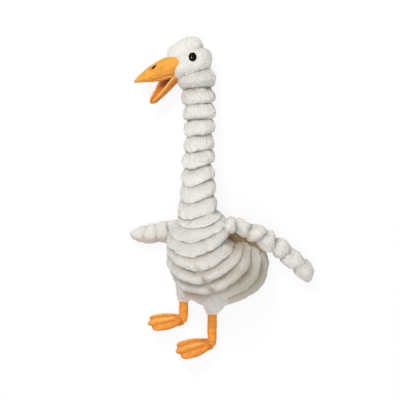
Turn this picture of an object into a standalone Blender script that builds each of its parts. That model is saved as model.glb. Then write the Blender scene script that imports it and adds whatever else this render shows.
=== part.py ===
"""Stuffed long-necked duck toy, lying on its back as it comes to rest.

Metres, +Z up. The floor is z = 0, the neck runs along +Y, and the bird's left wing is at +X.
The plush cover is one closed roll-by-roll skin. Wings, thighs, beak, eyes and feet are sewn on,
so each is cut back to the surface that it is sewn to, less SEAM_GAP.
"""
import math

import bmesh
import bpy
import numpy as np
from mathutils import Matrix, Vector
from mathutils.bvhtree import BVHTree

SEAM_GAP = 0.0003

NECK_LENGTH = 0.185
NECK_ROLLS = 8
NECK_BASE_OFFSET = 0.0080
NECK_SWAY = 0.0030
NECK_WAIST_RADIUS = 0.0183
NECK_TOP_RADIUS = 0.0208
NECK_BASE_RADIUS = 0.0250
NECK_TOP_TILT = 5.0
NECK_BASE_TILT = 8.0
NECK_TOP_HEIGHT = 0.0250
NECK_BASE_HEIGHT = 0.0430
NECK_LEAN = 6.0
NECK_WAIST_SHARE = 0.55
NECK_RISE_SHARE = 0.70
NECK_SWAY_SHARE = 0.35
NECK_SEAM_ANGLE = 122.0
NECK_V_DEPTH = 0.0060

ROLL_PUFF = 0.0042
ROLL_PUFF_SHARE = 0.24
ROLL_ROUNDNESS = 2.4
V_HALF_ANGLE = 62.0
SQUARENESS = 2.3

HEAD_MID_HEIGHT = 0.0275
HEAD_HALF_DEPTH = 0.0215

LUMP_PUFF = 0.0032
LIMB_END_WIDTH = 0.70
LIMB_END_THICKNESS = 0.60
WING_ROOT = (0.0360, -0.0112, 0.0560)
WING_LUMPS = 7
WING_LENGTH = 0.146
WING_SPREAD = 0.86
WING_FALL = 0.20
WING_DROOP = 2.35
WING_SLIDE = 1.3
WING_WIDTH = 0.0258
WING_THICKNESS = 0.0210
WING_TIP_HEIGHT = 0.0135
REAR_WING_ROOT = (-0.0220, -0.0210, 0.0230)
REAR_WING_LUMPS = 5
REAR_WING_LENGTH = 0.075
REAR_WING_FALL = 0.10
REAR_WING_SLOPE = 1.08
REAR_WING_WIDTH = 0.0330
REAR_WING_TAPER = 0.42
REAR_WING_END_WIDTH = 0.50
REAR_WING_THICKNESS = 0.0190
REAR_WING_TIP_HEIGHT = 0.0125

LEG_RADIUS = 0.0068
LEG_TUCK = 0.0040
LEFT_HEM = (0.0214, -0.1394, 0.0190)
LEFT_LEG_LENGTH = 0.044
LEFT_ANKLE_HEIGHT = 0.0120
LEFT_FOOT_TURN = 13.0
LEFT_THIGH_RISE = 0.012
RIGHT_HEM = (-0.0200, -0.1238, 0.0160)
RIGHT_LEG_LENGTH = 0.028
RIGHT_ANKLE_HEIGHT = 0.0115
RIGHT_FOOT_TURN = 4.0
RIGHT_THIGH_RISE = 0.010
THIGH_SPREAD = 0.004
THIGH_LENGTH = 0.030
THIGH_RADIUS = 0.0165
HEM_RADIUS = 0.0078
FOOT_LENGTH = 0.057
FOOT_WIDTH = 0.035
FOOT_THICKNESS = 0.0100
FOOT_TILT = 53.0
FOOT_TOES = 3
TOE_RISE = 0.08
HEEL_TUCK = 0.004

BEAK_ROOT = (-0.0330, 0.0300)
BEAK_LENGTH = 0.0625
BEAK_ROOT_HEIGHT = 0.0305
BEAK_DROOP = 20.6
BEAK_ARCH = 0.0020
LIP_FLATNESS = 0.80
BEAK_HALF_WIDTH = 0.0150
BEAK_TIP_HEIGHT = 0.0020
BEAK_TIP_HALF_WIDTH = 0.0012
BEAK_TAPER = 1.9
LOWER_BEAK_ROOT = (-0.0395, 0.0185)
LOWER_BEAK_LENGTH = 0.0470
LOWER_BEAK_HALF_WIDTH = 0.0125
LOWER_BEAK_HALF_DEPTH = 0.00775
SCOOP_FLATNESS = 0.45
LOWER_BEAK_DROOP = 53.0
LOWER_BEAK_ROLL = 26.0
LINING_THICKNESS = 0.0015

EYE_PLACE = (-0.0069, 0.0413)
EYE_RADIUS = 0.0060
EYE_RISE = 0.0030
NOSTRIL_PLACE = (-0.0621, 0.0280)
NOSTRIL_TURN = 41.0
NOSTRIL_LENGTH = 0.0072
NOSTRIL_WIDTH = 0.0026
NOSTRIL_RISE = 0.0008

AROUND = 32
ROWS_PER_ROLL = 4


def material(name, colour, roughness):
    found = bpy.data.materials.get(name)
    if found:
        return found
    made = bpy.data.materials.new(name)
    made.use_nodes = True
    shader = made.node_tree.nodes["Principled BSDF"]
    shader.inputs["Base Color"].default_value = (*colour, 1.0)
    shader.inputs["Roughness"].default_value = roughness
    shader.inputs["Metallic"].default_value = 0.0
    return made


def plush():
    return material("cream_plush", (0.80, 0.78, 0.73), 0.95)


def orange_cloth():
    return material("orange_velour", (0.80, 0.36, 0.06), 0.85)


def lining_cloth():
    return material("mouth_lining", (0.45, 0.07, 0.02), 0.9)


def black_plastic():
    return material("black_plastic", (0.01, 0.01, 0.01), 0.12)


def black_thread():
    return material("black_thread", (0.015, 0.012, 0.01), 0.7)


def unit(vector):
    return vector / np.linalg.norm(vector, axis=-1, keepdims=True)


def grid_object(name, rings, finish, lowest=0.0):
    """A closed skin through the rings, in order, with a pole at the middle of each end ring."""
    rings = np.array(rings)
    rings[..., 2] = np.maximum(rings[..., 2], lowest)
    count, around = rings.shape[:2]
    mesh = bpy.data.meshes.new(name)
    bm = bmesh.new()
    rows = [[bm.verts.new(Vector(point)) for point in ring] for ring in rings]
    for low, high in zip(rows[:-1], rows[1:]):
        for i in range(around):
            j = (i + 1) % around
            bm.faces.new((low[i], low[j], high[j], high[i]))
    for row, ring in ((rows[0], rings[0]), (rows[-1], rings[-1])):
        pole = bm.verts.new(Vector(ring.mean(axis=0)))
        for i in range(around):
            bm.faces.new((row[i], row[(i + 1) % around], pole))
    bmesh.ops.triangulate(bm, faces=bm.faces[:])
    bmesh.ops.recalc_face_normals(bm, faces=bm.faces[:])
    bm.to_mesh(mesh)
    bm.free()
    return add_object(name, mesh, finish)


def add_object(name, mesh, finish):
    mesh.materials.append(finish)
    mesh.shade_smooth()
    mesh.set_sharp_from_angle(angle=math.radians(55))
    made = bpy.data.objects.new(name, mesh)
    bpy.context.scene.collection.objects.link(made)
    return made


def swollen_copy(source, gap=SEAM_GAP):
    """A copy of a piece, swollen by the seam gap, that cuts its neighbours back to it."""
    mesh = source.data.copy()
    mesh.name = source.name + "_clearance"
    normals = [vertex.normal.copy() for vertex in mesh.vertices]
    for vertex, normal in zip(mesh.vertices, normals):
        vertex.co += normal * gap
    copy = bpy.data.objects.new(mesh.name, mesh)
    bpy.context.scene.collection.objects.link(copy)
    copy.hide_render = True
    copy.display_type = "WIRE"
    return copy


def cut_back(piece, cutter):
    modifier = piece.modifiers.new("cut_back_to_" + cutter.name, "BOOLEAN")
    modifier.operation = "DIFFERENCE"
    modifier.solver = "EXACT"
    modifier.object = cutter


def surface_height(source, x, y, side):
    """The height of a piece's skin at x, y: its upper side for 1, its underside for -1."""
    tree = BVHTree.FromPolygons(
        [v.co for v in source.data.vertices], [p.vertices for p in source.data.polygons])
    hit = tree.ray_cast(Vector((x, y, side * 1.0)), Vector((0, 0, -side)))
    return hit[0].z


def station(x, y, z, half_width, turn, up, up_tilt, down, down_tilt, seam=101.0, v_depth=0.004):
    """One ring: its centre, half width, turn in plan, and its upper and lower half depths.

    The tilts lean the ring towards the tail above its centre and towards the head below it.
    seam is the angle of the chest seam round the ring, where the roll dips by v_depth.
    """
    return np.array([x, y, z, half_width, turn, up, up_tilt, down, down_tilt, seam, v_depth])


def ring_points(values, around=AROUND, squareness=SQUARENESS):
    x, y, z, half_width, turn, up, up_tilt, down, down_tilt, seam, v_depth = values
    turn = math.radians(turn)
    across = np.array([math.cos(turn), math.sin(turn), 0.0])
    tailwards = np.array([math.sin(turn), -math.cos(turn), 0.0])
    angle = np.linspace(0.0, 2 * math.pi, around, endpoint=False)
    cosine = np.sign(np.cos(angle)) * np.abs(np.cos(angle)) ** (2 / squareness)
    sine = np.sign(np.sin(angle)) * np.abs(np.sin(angle)) ** (2 / squareness)
    arms = []
    for reach, tilt in ((up, up_tilt), (down, down_tilt)):
        lean = math.radians(tilt)
        arms.append(reach * (tailwards * math.sin(lean) + np.array([0, 0, math.cos(lean)])))
    rise = np.where(sine[:, None] > 0, arms[0], arms[1]) * sine[:, None]
    away = np.abs((np.degrees(angle) - seam + 180.0) % 360.0 - 180.0)
    dip = v_depth * np.maximum(0.0, 1.0 - away / V_HALF_ANGLE)
    lean = math.radians(up_tilt)
    along = tailwards * math.cos(lean) - np.array([0, 0, math.sin(lean)])
    centre = np.array([x, y, z])
    return centre + half_width * cosine[:, None] * across + rise + dip[:, None] * along


def between(values, position):
    """Catmull-Rom reading of the stations at a fractional position."""
    last = len(values) - 1
    index = min(int(position), last - 1)
    t = position - index
    p1, p2 = values[index], values[index + 1]
    p0 = values[index - 1] if index > 0 else 2 * p1 - p2
    p3 = values[index + 2] if index + 2 <= last else 2 * p2 - p1
    return 0.5 * (2 * p1 + (p2 - p0) * t + (2 * p0 - 5 * p1 + 4 * p2 - p3) * t ** 2
                  + (3 * p1 - p0 - 3 * p2 + p3) * t ** 3)


def rolled_rings(values, creases, around=AROUND, rows=ROWS_PER_ROLL, puff=ROLL_PUFF,
                 squareness=SQUARENESS):
    """Rings through the stations that swell between one crease and the next.

    creases holds the positions of the tucks, as station numbers. A roll's swelling follows a
    rounded arch over its width, and is limited by how far apart its two tucks lie there.
    """
    rings = [ring_points(values[0], around, squareness)]
    for start, end in zip(creases[:-1], creases[1:]):
        low = ring_points(between(values, start), around, squareness)
        high = ring_points(between(values, end), around, squareness)
        room = np.linalg.norm(high - low, axis=1)
        height = np.minimum(puff, ROLL_PUFF_SHARE * room)
        shares = 0.5 - 0.5 * np.cos(np.linspace(0.0, math.pi, rows + 1))
        for share in shares[1:]:
            read = between(values, start + (end - start) * share)
            ring = ring_points(read, around, squareness)
            arch = max(0.0, 1.0 - abs(2 * share - 1) ** ROLL_ROUNDNESS) ** (1 / ROLL_ROUNDNESS)
            outwards = unit(ring - read[:3])
            rings.append(ring + outwards * (height * arch)[:, None])
    return rings


def body_stations():
    """The tucks of the body, fanning from the neck's base to the rump that lies on the floor."""
    return [
        station(.0046, -.0198, .0460, .0400, 7.8, .0440, 19.0, .0400, 19.0, 106.0, .0050),
        station(.0050, -.0376, .0460, .0465, 7.5, .0540, 17.0, .0425, 18.0, 102.0, .0045),
        station(.0139, -.0487, .0460, .0535, 8.5, .0600, 22.0, .0430, 22.0, 101.0, .0045),
        station(.0195, -.0600, .0440, .0580, 15.6, .0590, 27.8, .0420, 28.0, 100.0, .0040),
        station(.0285, -.0715, .0380, .0655, 21.0, .0505, 37.0, .0410, 34.0, 100.0, .0030),
        station(.0345, -.0790, .0310, .0675, 23.0, .0460, 55.0, .0380, 44.0, 95.0, .0020),
        station(.0365, -.0810, .0200, .0630, 24.0, .0430, 76.0, .0320, 58.0, 95.0, .0),
        station(.0360, -.0805, .0050, .0520, 24.0, .0350, 88.0, .0240, 80.0, 95.0, .0),
        station(.0360, -.0805, -.001, .0400, 24.0, .0260, 90.0, .0160, 90.0, 95.0, .0),
    ]


def shoulder_station():
    return station(.0034, -.0020, .0450, .0325, 8.0, .0330, 17.0, .0340, 14.0, 114.0, .0060)


def neck_station(share):
    """A tuck of the neck, for a share of its length from the base at 0 to the chin at 1."""
    down = 1.0 - share
    waist = NECK_WAIST_RADIUS
    above_waist = max(0.0, share - NECK_WAIST_SHARE) / (1.0 - NECK_WAIST_SHARE)
    below_waist = max(0.0, NECK_WAIST_SHARE - share) / NECK_WAIST_SHARE
    radius = waist + (NECK_TOP_RADIUS - waist) * above_waist ** 2
    radius += (NECK_BASE_RADIUS - waist) * below_waist ** 2
    ease = max(0.0, 1.0 - share / NECK_RISE_SHARE)
    ease = ease * ease * (3 - 2 * ease)
    height = NECK_TOP_HEIGHT + (NECK_BASE_HEIGHT - NECK_TOP_HEIGHT) * ease
    tilt = NECK_TOP_TILT + (NECK_BASE_TILT - NECK_TOP_TILT) * down
    v_depth = NECK_V_DEPTH * max(0.0, min(1.0, 2.0 * down - 0.5))
    lean = tilt + NECK_LEAN * down
    above_sway = max(0.0, share - NECK_SWAY_SHARE) / (1.0 - NECK_SWAY_SHARE)
    sway = NECK_SWAY * math.sin(math.pi * above_sway)
    along = NECK_BASE_OFFSET + (NECK_LENGTH - NECK_BASE_OFFSET) * share
    return station(sway, along, height, radius, tilt, radius, lean,
                   radius, lean, NECK_SEAM_ANGLE, v_depth)


def head_stations():
    """The tucks and forms of the head, which turns from the neck to face the beak at -X."""
    top = NECK_LENGTH
    z = HEAD_MID_HEIGHT
    deep = HEAD_HALF_DEPTH
    return [
        station(-.0052, top + .0215, z, .0235, 16.6, deep, 4.0, deep, 4.0, 90.0, .0),
        station(-.0125, top + .0380, z, .0275, 46.0, deep, 0.0, deep, 0.0, 90.0, .0),
        station(-.0215, top + .0460, z, .0265, 68.0, deep, 0.0, deep, 0.0, 90.0, .0),
        station(-.0330, top + .0415, z, .0195, 88.0, .82 * deep, 0.0, .82 * deep, 0.0, 90.0, .0),
        station(-.0405, top + .0395, z, .0125, 98.0, .55 * deep, 0.0, .55 * deep, 0.0, 90.0, .0),
    ]


def plush_body():
    """Head, neck and body: one stuffed cover, tucked into rolls."""
    neck = [neck_station(i / NECK_ROLLS) for i in range(NECK_ROLLS + 1)]
    body = body_stations()
    values = body[::-1] + [shoulder_station()] + neck + head_stations()
    first_crease = 1
    last_crease = len(values) - 4
    creases = [0] + list(range(first_crease, last_crease + 1)) + [len(values) - 1]
    return grid_object("plush_body", rolled_rings(values, creases), plush())


def lumpy_limb(name, points, widths, thicknesses, lumps, finish, around=18, rows=4):
    """A stuffed limb: a chain of lumps along a smooth path of stations."""
    values = []
    for index, (point, width, thickness) in enumerate(zip(points, widths, thicknesses)):
        ahead = points[min(index + 1, len(points) - 1)] - points[max(index - 1, 0)]
        turn = math.degrees(math.atan2(ahead[1], ahead[0])) + 90.0
        lean = -math.degrees(math.atan2(ahead[2], math.hypot(ahead[0], ahead[1])))
        values.append(station(*point, width / 2, turn, thickness / 2, lean, thickness / 2, lean,
                              90.0, 0.0))
    creases = [i * (len(values) - 1) / lumps for i in range(lumps + 1)]
    return grid_object(name, rolled_rings(values, creases, around, rows, LUMP_PUFF, 2.0), finish)


def wing_left():
    """The bird's left wing: seven lumps that leave the shoulder and droop to the floor."""
    x, y, z = WING_ROOT
    steps = np.linspace(0.0, 1.0, WING_LUMPS + 1)
    run = steps * WING_LENGTH
    fall = WING_FALL * run + WING_DROOP * run ** 2
    drop = (z - WING_TIP_HEIGHT) * steps ** WING_SLIDE
    points = [np.array([x + WING_SPREAD * r, y - f, z - d]) for r, f, d in zip(run, fall, drop)]
    widths = WING_WIDTH * (0.72 + 0.34 * np.sin(math.pi * np.clip(steps * 1.1, 0, 1)))
    widths[-1] *= LIMB_END_WIDTH
    thicknesses = np.full(len(steps), WING_THICKNESS)
    thicknesses[-1] *= LIMB_END_THICKNESS
    return lumpy_limb("wing_left", points, widths, thicknesses, WING_LUMPS, plush())


def wing_right():
    """The bird's right wing, tucked half behind the body, with its tip on the floor."""
    x, y, z = REAR_WING_ROOT
    steps = np.linspace(0.0, 1.0, REAR_WING_LUMPS + 1)
    points = [np.array([x - run, y - REAR_WING_FALL * run,
                        max(z - REAR_WING_SLOPE * run, REAR_WING_TIP_HEIGHT)])
              for run in steps * REAR_WING_LENGTH]
    widths = REAR_WING_WIDTH * (1.0 - REAR_WING_TAPER * steps ** 1.6)
    widths[-1] *= REAR_WING_END_WIDTH
    thicknesses = np.full(len(steps), REAR_WING_THICKNESS)
    thicknesses[-1] *= LIMB_END_THICKNESS
    return lumpy_limb("wing_right", points, widths, thicknesses, REAR_WING_LUMPS, plush())


def tube(name, start, end, radii, finish, around=20):
    """A round stuffed tube whose radii are given at even steps from start to end."""
    start, end = np.array(start), np.array(end)
    along = unit(end - start)
    side = unit(np.cross(along, [0.0, 0.0, 1.0]))
    over = np.cross(side, along)
    angle = np.linspace(0.0, 2 * math.pi, around, endpoint=False)
    circle = np.cos(angle)[:, None] * side + np.sin(angle)[:, None] * over
    shares = np.linspace(0.0, 1.0, len(radii))
    rings = [start + (end - start) * share + radius * circle
             for share, radius in zip(shares, radii)]
    return grid_object(name, rings, finish)


def thigh(name, hem, rise):
    """A plush cuff, wide where it leaves the belly and drawn in to its hem."""
    root = np.array(hem) + np.array([THIGH_SPREAD, THIGH_LENGTH, rise])
    radii = [THIGH_RADIUS, THIGH_RADIUS * 0.98, THIGH_RADIUS * 0.86, HEM_RADIUS * 1.22, HEM_RADIUS]
    return tube(name, root, hem, radii, plush())


def leg(name, hem, ankle):
    """A round orange leg that starts inside the cuff's hem and ends in the foot."""
    hem, ankle = np.array(hem), np.array(ankle)
    along = unit(ankle - hem)
    radii = [LEG_RADIUS] * 5 + [LEG_RADIUS * 0.92]
    return tube(name, hem - along * LEG_TUCK, ankle, radii, orange_cloth(), around=18)


def foot_outline(share):
    """Half the foot's width for a share of its length, from the heel at 0 to the toes at 1."""
    return 0.42 + 0.58 * math.sin(math.pi / 2 * min(1.0, share / 0.72)) ** 1.3


def foot(name, ankle, turn):
    """A quilted webbed foot: three padded toes, each running to its own point.

    Its plate is a grid in length and width. The toes' ridges are a cosine across the width, and
    the length of each strip follows its toe, so that the front edge has three points.
    """
    turn, tilt = math.radians(turn), math.radians(FOOT_TILT)
    toewards = unit(np.array([-math.cos(turn), -math.sin(turn), TOE_RISE]))
    flat_side = np.array([math.sin(turn), -math.cos(turn), 0.0])
    across = unit(flat_side * math.cos(tilt) + np.array([0.0, 0.0, math.sin(tilt)]))
    normal = np.cross(toewards, across)
    lengthwise, widthwise = 11, 13
    along = np.linspace(0.0, 1.0, lengthwise)
    cross = np.linspace(-1.0, 1.0, widthwise)
    toe_wave = 0.5 + 0.5 * np.cos(cross * FOOT_TOES * math.pi)
    reach = FOOT_LENGTH * (0.86 + 0.10 * toe_wave - 0.10 * cross ** 2)
    upper, lower = [], []
    for share in along:
        half = FOOT_WIDTH / 2 * foot_outline(share)
        edge = np.sqrt(np.clip(1.0 - np.abs(cross) ** 3.0, 0.0, 1.0))
        tip = math.sqrt(max(0.0, 1.0 - share ** 5)) * min(1.0, 0.45 + share * 4)
        ridge = 0.66 + 0.34 * toe_wave
        lift = FOOT_THICKNESS / 2 * edge * tip * ridge
        base = ankle + np.outer(share * reach - HEEL_TUCK, toewards) + np.outer(cross * half, across)
        upper.append(base + np.outer(lift, normal))
        lower.append(base - np.outer(lift * 0.7, normal))
    return plate(name, np.array(upper), np.array(lower), orange_cloth())


def plate(name, upper, lower, finish):
    """A closed pad between two grids of points that share their edges."""
    upper[..., 2] = np.maximum(upper[..., 2], 0.0)
    lower[..., 2] = np.maximum(lower[..., 2], 0.0)
    rows, columns = upper.shape[:2]
    bm = bmesh.new()
    top = [[bm.verts.new(Vector(p)) for p in row] for row in upper]
    low = [[bm.verts.new(Vector(p)) for p in row] for row in lower]
    for i in range(rows - 1):
        for j in range(columns - 1):
            bm.faces.new((top[i][j], top[i][j + 1], top[i + 1][j + 1], top[i + 1][j]))
            bm.faces.new((low[i][j], low[i + 1][j], low[i + 1][j + 1], low[i][j + 1]))
    rim = [(0, j) for j in range(columns)] + [(i, columns - 1) for i in range(1, rows)]
    rim += [(rows - 1, j) for j in range(columns - 2, -1, -1)]
    rim += [(i, 0) for i in range(rows - 2, 0, -1)]
    for (a, b), (c, d) in zip(rim, rim[1:] + rim[:1]):
        bm.faces.new((top[a][b], top[c][d], low[c][d], low[a][b]))
    bmesh.ops.remove_doubles(bm, verts=bm.verts[:], dist=0.00002)
    bmesh.ops.triangulate(bm, faces=bm.faces[:])
    bmesh.ops.recalc_face_normals(bm, faces=bm.faces[:])
    mesh = bpy.data.meshes.new(name)
    bm.to_mesh(mesh)
    bm.free()
    return add_object(name, mesh, finish)


def beak_upper():
    """The upper beak: deep and round at the face, drawn to a point that hangs a little."""
    lead = math.radians(BEAK_DROOP + 180.0)
    along = np.array([math.cos(lead), math.sin(lead), 0.0])
    over = np.array([along[1], -along[0], 0.0])
    root = on_head(BEAK_ROOT)
    rings = []
    for share in (-0.16, 0.0, 0.2, 0.42, 0.64, 0.82, 0.94, 1.0):
        run = max(share, 0.0)
        taper = 1.0 - run ** BEAK_TAPER
        height = BEAK_ROOT_HEIGHT * taper + BEAK_TIP_HEIGHT
        tall = height / (1.0 + LIP_FLATNESS)
        width = BEAK_HALF_WIDTH * taper + BEAK_TIP_HALF_WIDTH
        arch = BEAK_ARCH * math.sin(math.pi * run) - tall * (1.0 - LIP_FLATNESS) / 2
        centre = root + along * BEAK_LENGTH * share + over * arch
        rings.append(beak_ring(centre, over * tall, np.array([0, 0, width]), LIP_FLATNESS))
    return grid_object("beak_upper", rings, orange_cloth())


def beak_ring(centre, tall, wide, flatness, around=20):
    """A rounded section whose lower half is flattened, as a folded lip is."""
    angle = np.linspace(0.0, 2 * math.pi, around, endpoint=False)
    sine = np.sin(angle)
    sine = np.where(sine < 0, sine * flatness, sine)
    return centre + np.cos(angle)[:, None] * wide + sine[:, None] * tall


def on_head(place):
    """A place on the head's middle plane, from its x and its distance past the neck's top."""
    return np.array([place[0], NECK_LENGTH + place[1], HEAD_MID_HEIGHT])


def lower_beak_frame():
    """The lower beak's own directions: along it, towards the mouth, and across it."""
    lead, roll = math.radians(180.0 + LOWER_BEAK_DROOP), math.radians(LOWER_BEAK_ROLL)
    along = np.array([math.cos(lead), math.sin(lead), 0.0])
    inner = np.array([along[1], -along[0], 0.0])
    inner = inner * math.cos(roll) + np.array([0, 0, math.sin(roll)])
    return along, inner, np.cross(along, inner)


def lower_profile(share):
    """The lower beak's size for a share of its length, as a share of its size at the face."""
    taper = max(0.0, 1.0 - max(share, 0.0) ** 2.2)
    return 0.25 + 0.75 * taper


def beak_lower():
    """The lower beak: a scoop, open towards the upper one, with a blunt end."""
    along, inner, across = lower_beak_frame()
    root = on_head(LOWER_BEAK_ROOT)
    rings = []
    for share in (-0.14, 0.0, 0.25, 0.5, 0.75, 0.92, 1.0):
        size = lower_profile(share) * (0.55 if share == 1.0 else 1.0)
        centre = root + along * LOWER_BEAK_LENGTH * share
        wide = across * LOWER_BEAK_HALF_WIDTH * size
        deep = -inner * LOWER_BEAK_HALF_DEPTH * size
        rings.append(beak_ring(centre, deep, wide, SCOOP_FLATNESS))
    return grid_object("beak_lower", rings, orange_cloth())


def mouth_lining():
    """The cloth that lines the lower beak, one thin layer on its inner side."""
    along, inner, across = lower_beak_frame()
    root = on_head(LOWER_BEAK_ROOT)
    lift = LOWER_BEAK_HALF_DEPTH * SCOOP_FLATNESS
    upper, lower = [], []
    cross = np.linspace(-0.84, 0.84, 7)
    for share in np.linspace(0.02, 0.90, 8):
        size = lower_profile(share)
        line = root + along * LOWER_BEAK_LENGTH * share
        line = line + np.outer(cross * LOWER_BEAK_HALF_WIDTH * size, across)
        skin = np.sqrt(1.0 - cross ** 2) * lift * size
        lower.append(line + np.outer(skin + SEAM_GAP, inner))
        upper.append(line + np.outer(skin + SEAM_GAP + LINING_THICKNESS, inner))
    return plate("mouth_lining", np.array(upper), np.array(lower), lining_cloth())


def dome(name, centre, radii, turn, finish, around=20, rows=10):
    """A small rounded button, as an ellipsoid on the surface that it is set in."""
    turn = math.radians(turn)
    long_way = np.array([math.cos(turn), math.sin(turn), 0.0]) * radii[0]
    short_way = np.array([-math.sin(turn), math.cos(turn), 0.0]) * radii[1]
    angle = np.linspace(0.0, 2 * math.pi, around, endpoint=False)
    rings = []
    for latitude in np.linspace(0.08, math.pi - 0.08, rows):
        circle = np.cos(angle)[:, None] * long_way + np.sin(angle)[:, None] * short_way
        height = np.array([0.0, 0.0, radii[2] * math.cos(latitude)])
        rings.append(np.array(centre) + circle * math.sin(latitude) + height)
    return grid_object(name, rings, finish, lowest=-1.0)


def place_on_floor(made):
    """Moves the whole toy so that the origin is the middle of its box, on the floor."""
    depsgraph = bpy.context.evaluated_depsgraph_get()
    corners = []
    for piece in made:
        mesh = piece.evaluated_get(depsgraph).to_mesh()
        corners += [tuple(vertex.co) for vertex in mesh.vertices]
    corners = np.array(corners)
    middle = (corners.min(axis=0) + corners.max(axis=0)) / 2
    shift = Vector((-middle[0], -middle[1], -corners[:, 2].min()))
    for placed in bpy.data.objects:
        placed.data.transform(Matrix.Translation(shift))


def both_sides(stem, source, place, radii, turn, finish, around=20, rows=10):
    """The same button on a piece's upper side and on its underside."""
    x, y, _ = on_head(place)
    pair = []
    for suffix, side in (("_left", 1), ("_right", -1)):
        centre = (x, y, surface_height(source, x, y, side))
        pair.append(dome(stem + suffix, centre, radii, turn, finish, around, rows))
    return pair


def main():
    for old in list(bpy.data.objects):
        bpy.data.objects.remove(old, do_unlink=True)
    body = plush_body()
    left_ankle = (LEFT_HEM[0], LEFT_HEM[1] - LEFT_LEG_LENGTH, LEFT_ANKLE_HEIGHT)
    right_ankle = (RIGHT_HEM[0], RIGHT_HEM[1] - RIGHT_LEG_LENGTH, RIGHT_ANKLE_HEIGHT)
    feet = [foot("foot_left", np.array(left_ankle), LEFT_FOOT_TURN),
            foot("foot_right", np.array(right_ankle), RIGHT_FOOT_TURN)]
    legs = [leg("leg_left", LEFT_HEM, left_ankle), leg("leg_right", RIGHT_HEM, right_ankle)]
    thighs = [thigh("thigh_left", LEFT_HEM, LEFT_THIGH_RISE),
              thigh("thigh_right", RIGHT_HEM, RIGHT_THIGH_RISE)]
    for own_leg, own_foot, own_thigh in zip(legs, feet, thighs):
        cut_back(own_leg, swollen_copy(own_foot))
        cut_back(own_leg, swollen_copy(own_thigh))
    upper, lower, lining = beak_upper(), beak_lower(), mouth_lining()
    eyes = both_sides("eye", body, EYE_PLACE, (EYE_RADIUS, EYE_RADIUS, EYE_RISE), 0.0,
                      black_plastic())
    sewn = thighs + eyes + [wing_left(), wing_right(), upper, lower, lining]
    body_clearance = swollen_copy(body)
    for piece in sewn:
        cut_back(piece, body_clearance)
    nostrils = both_sides("nostril", upper, NOSTRIL_PLACE,
                          (NOSTRIL_LENGTH / 2, NOSTRIL_WIDTH / 2, NOSTRIL_RISE), NOSTRIL_TURN,
                          black_thread(), 12, 6)
    beak_clearance = swollen_copy(upper)
    for piece in nostrils + [lower, lining]:
        cut_back(piece, beak_clearance)
    place_on_floor([body] + feet + legs + sewn + nostrils)


main()
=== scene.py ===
"""Plush duck dog toy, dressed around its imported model.

The file is laid out as an add-on and run as a script. Each operator in it makes one piece of the
toy, or one group of like pieces, from formulas worked out as whole numpy arrays. The toy lies on
its back on the floor with its neck along +Y, and the camera looks straight down at it.
"""
import math

import bpy
import numpy as np
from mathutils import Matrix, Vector
from mathutils.bvhtree import BVHTree


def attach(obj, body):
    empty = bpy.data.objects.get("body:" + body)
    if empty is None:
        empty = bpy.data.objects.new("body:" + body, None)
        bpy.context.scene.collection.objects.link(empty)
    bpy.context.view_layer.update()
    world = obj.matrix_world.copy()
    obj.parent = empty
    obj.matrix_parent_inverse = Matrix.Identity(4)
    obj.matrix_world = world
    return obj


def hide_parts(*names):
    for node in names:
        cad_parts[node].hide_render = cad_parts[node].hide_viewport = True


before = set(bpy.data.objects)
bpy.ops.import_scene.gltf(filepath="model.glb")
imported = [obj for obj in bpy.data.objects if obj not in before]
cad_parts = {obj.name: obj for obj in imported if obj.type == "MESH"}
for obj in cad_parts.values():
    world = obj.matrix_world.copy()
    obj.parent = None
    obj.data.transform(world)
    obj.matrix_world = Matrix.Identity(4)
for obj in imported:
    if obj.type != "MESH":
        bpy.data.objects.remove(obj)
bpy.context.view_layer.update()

bl_info = {
    "name": "Plush Duck Dog Toy",
    "version": (1, 0, 0),
    "blender": (4, 5, 0),
    "location": "View3D > Sidebar > Plush Duck",
    "description": "Builds a stuffed long-necked duck toy, piece by piece",
    "category": "Add Mesh",
}

# From the shapes' own origin, under the base of the neck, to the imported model's.
DESIGN_SHIFT = np.array([-0.033057, -0.029987, 0.0])

NECK_LENGTH = 0.185
NECK_ROLLS = 8
HEAD_MID_HEIGHT = 0.0275
HEAD_HALF_DEPTH = 0.0215
SQUARENESS = 2.3
V_HALF_ANGLE = 75.0
EYE_PLACE, NOSTRIL_PLACE = (-.0069, .0413), (-.0621, .0280)
EYE_RADIUS = 0.0056
UPPER_BEAK_ROOT, UPPER_BEAK_LENGTH = (-.0330, .0300), 0.0625
LOWER_BEAK_ROOT, LOWER_BEAK_LENGTH = (-.0395, .0185), 0.0500
LOWER_BEAK_HALF_WIDTH, LOWER_BEAK_DEPTH, BEAK_WALL = 0.0122, 0.0146, 0.0016
LEFT_WING_LENGTH, RIGHT_WING_LENGTH = 0.150, 0.075
LEFT_HEM, RIGHT_HEM = (.0214, -.1366, .0200), (-.0200, -.1184, .0165)
LEFT_ANKLE, RIGHT_ANKLE = (.0214, -.1860, .0120), (-.0200, -.1510, .0115)
LEG_RADIUS, HEEL_CURVE = 0.0069, 0.0085
UPWARDS = np.array([0.0, 0.0, 1.0])

# Height and size of the tufts in each pile, in metres.
PLUSH_PILE, VELOUR_PILE = (0.00052, 0.0030), (0.00010, 0.0018)

# Each light's name, place, target, size in metres and power in watts.
LIGHTS = (("key", (-.40, .90, 1.15), (0.0, .03, .04), .52, 13.9),
          ("fill", (.05, -.62, 1.22), (0.0, -.06, .04), 1.0, 9.2),
          ("glint", (-.36, .02, 1.35), (-.04, .20, .05), .20, 52.0))
FLOOR_REACH, FLOOR_GLOW, WORLD_LIGHT = 6.0, 0.88, 0.36
CAMERA_PLACE, CAMERA_LENS = np.array([.0036, .0229, 1.54]), 94.4
SHADER = "Principled BSDF"


# Arithmetic on whole grids.

def unit(vectors):
    """Vectors scaled to length 1."""
    return vectors / np.maximum(np.linalg.norm(vectors, axis=-1, keepdims=True), 1e-12)


def signed_power(values, power):
    """A power of each value's size, with the value's sign."""
    return np.sign(values) * np.abs(values) ** power


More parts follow.
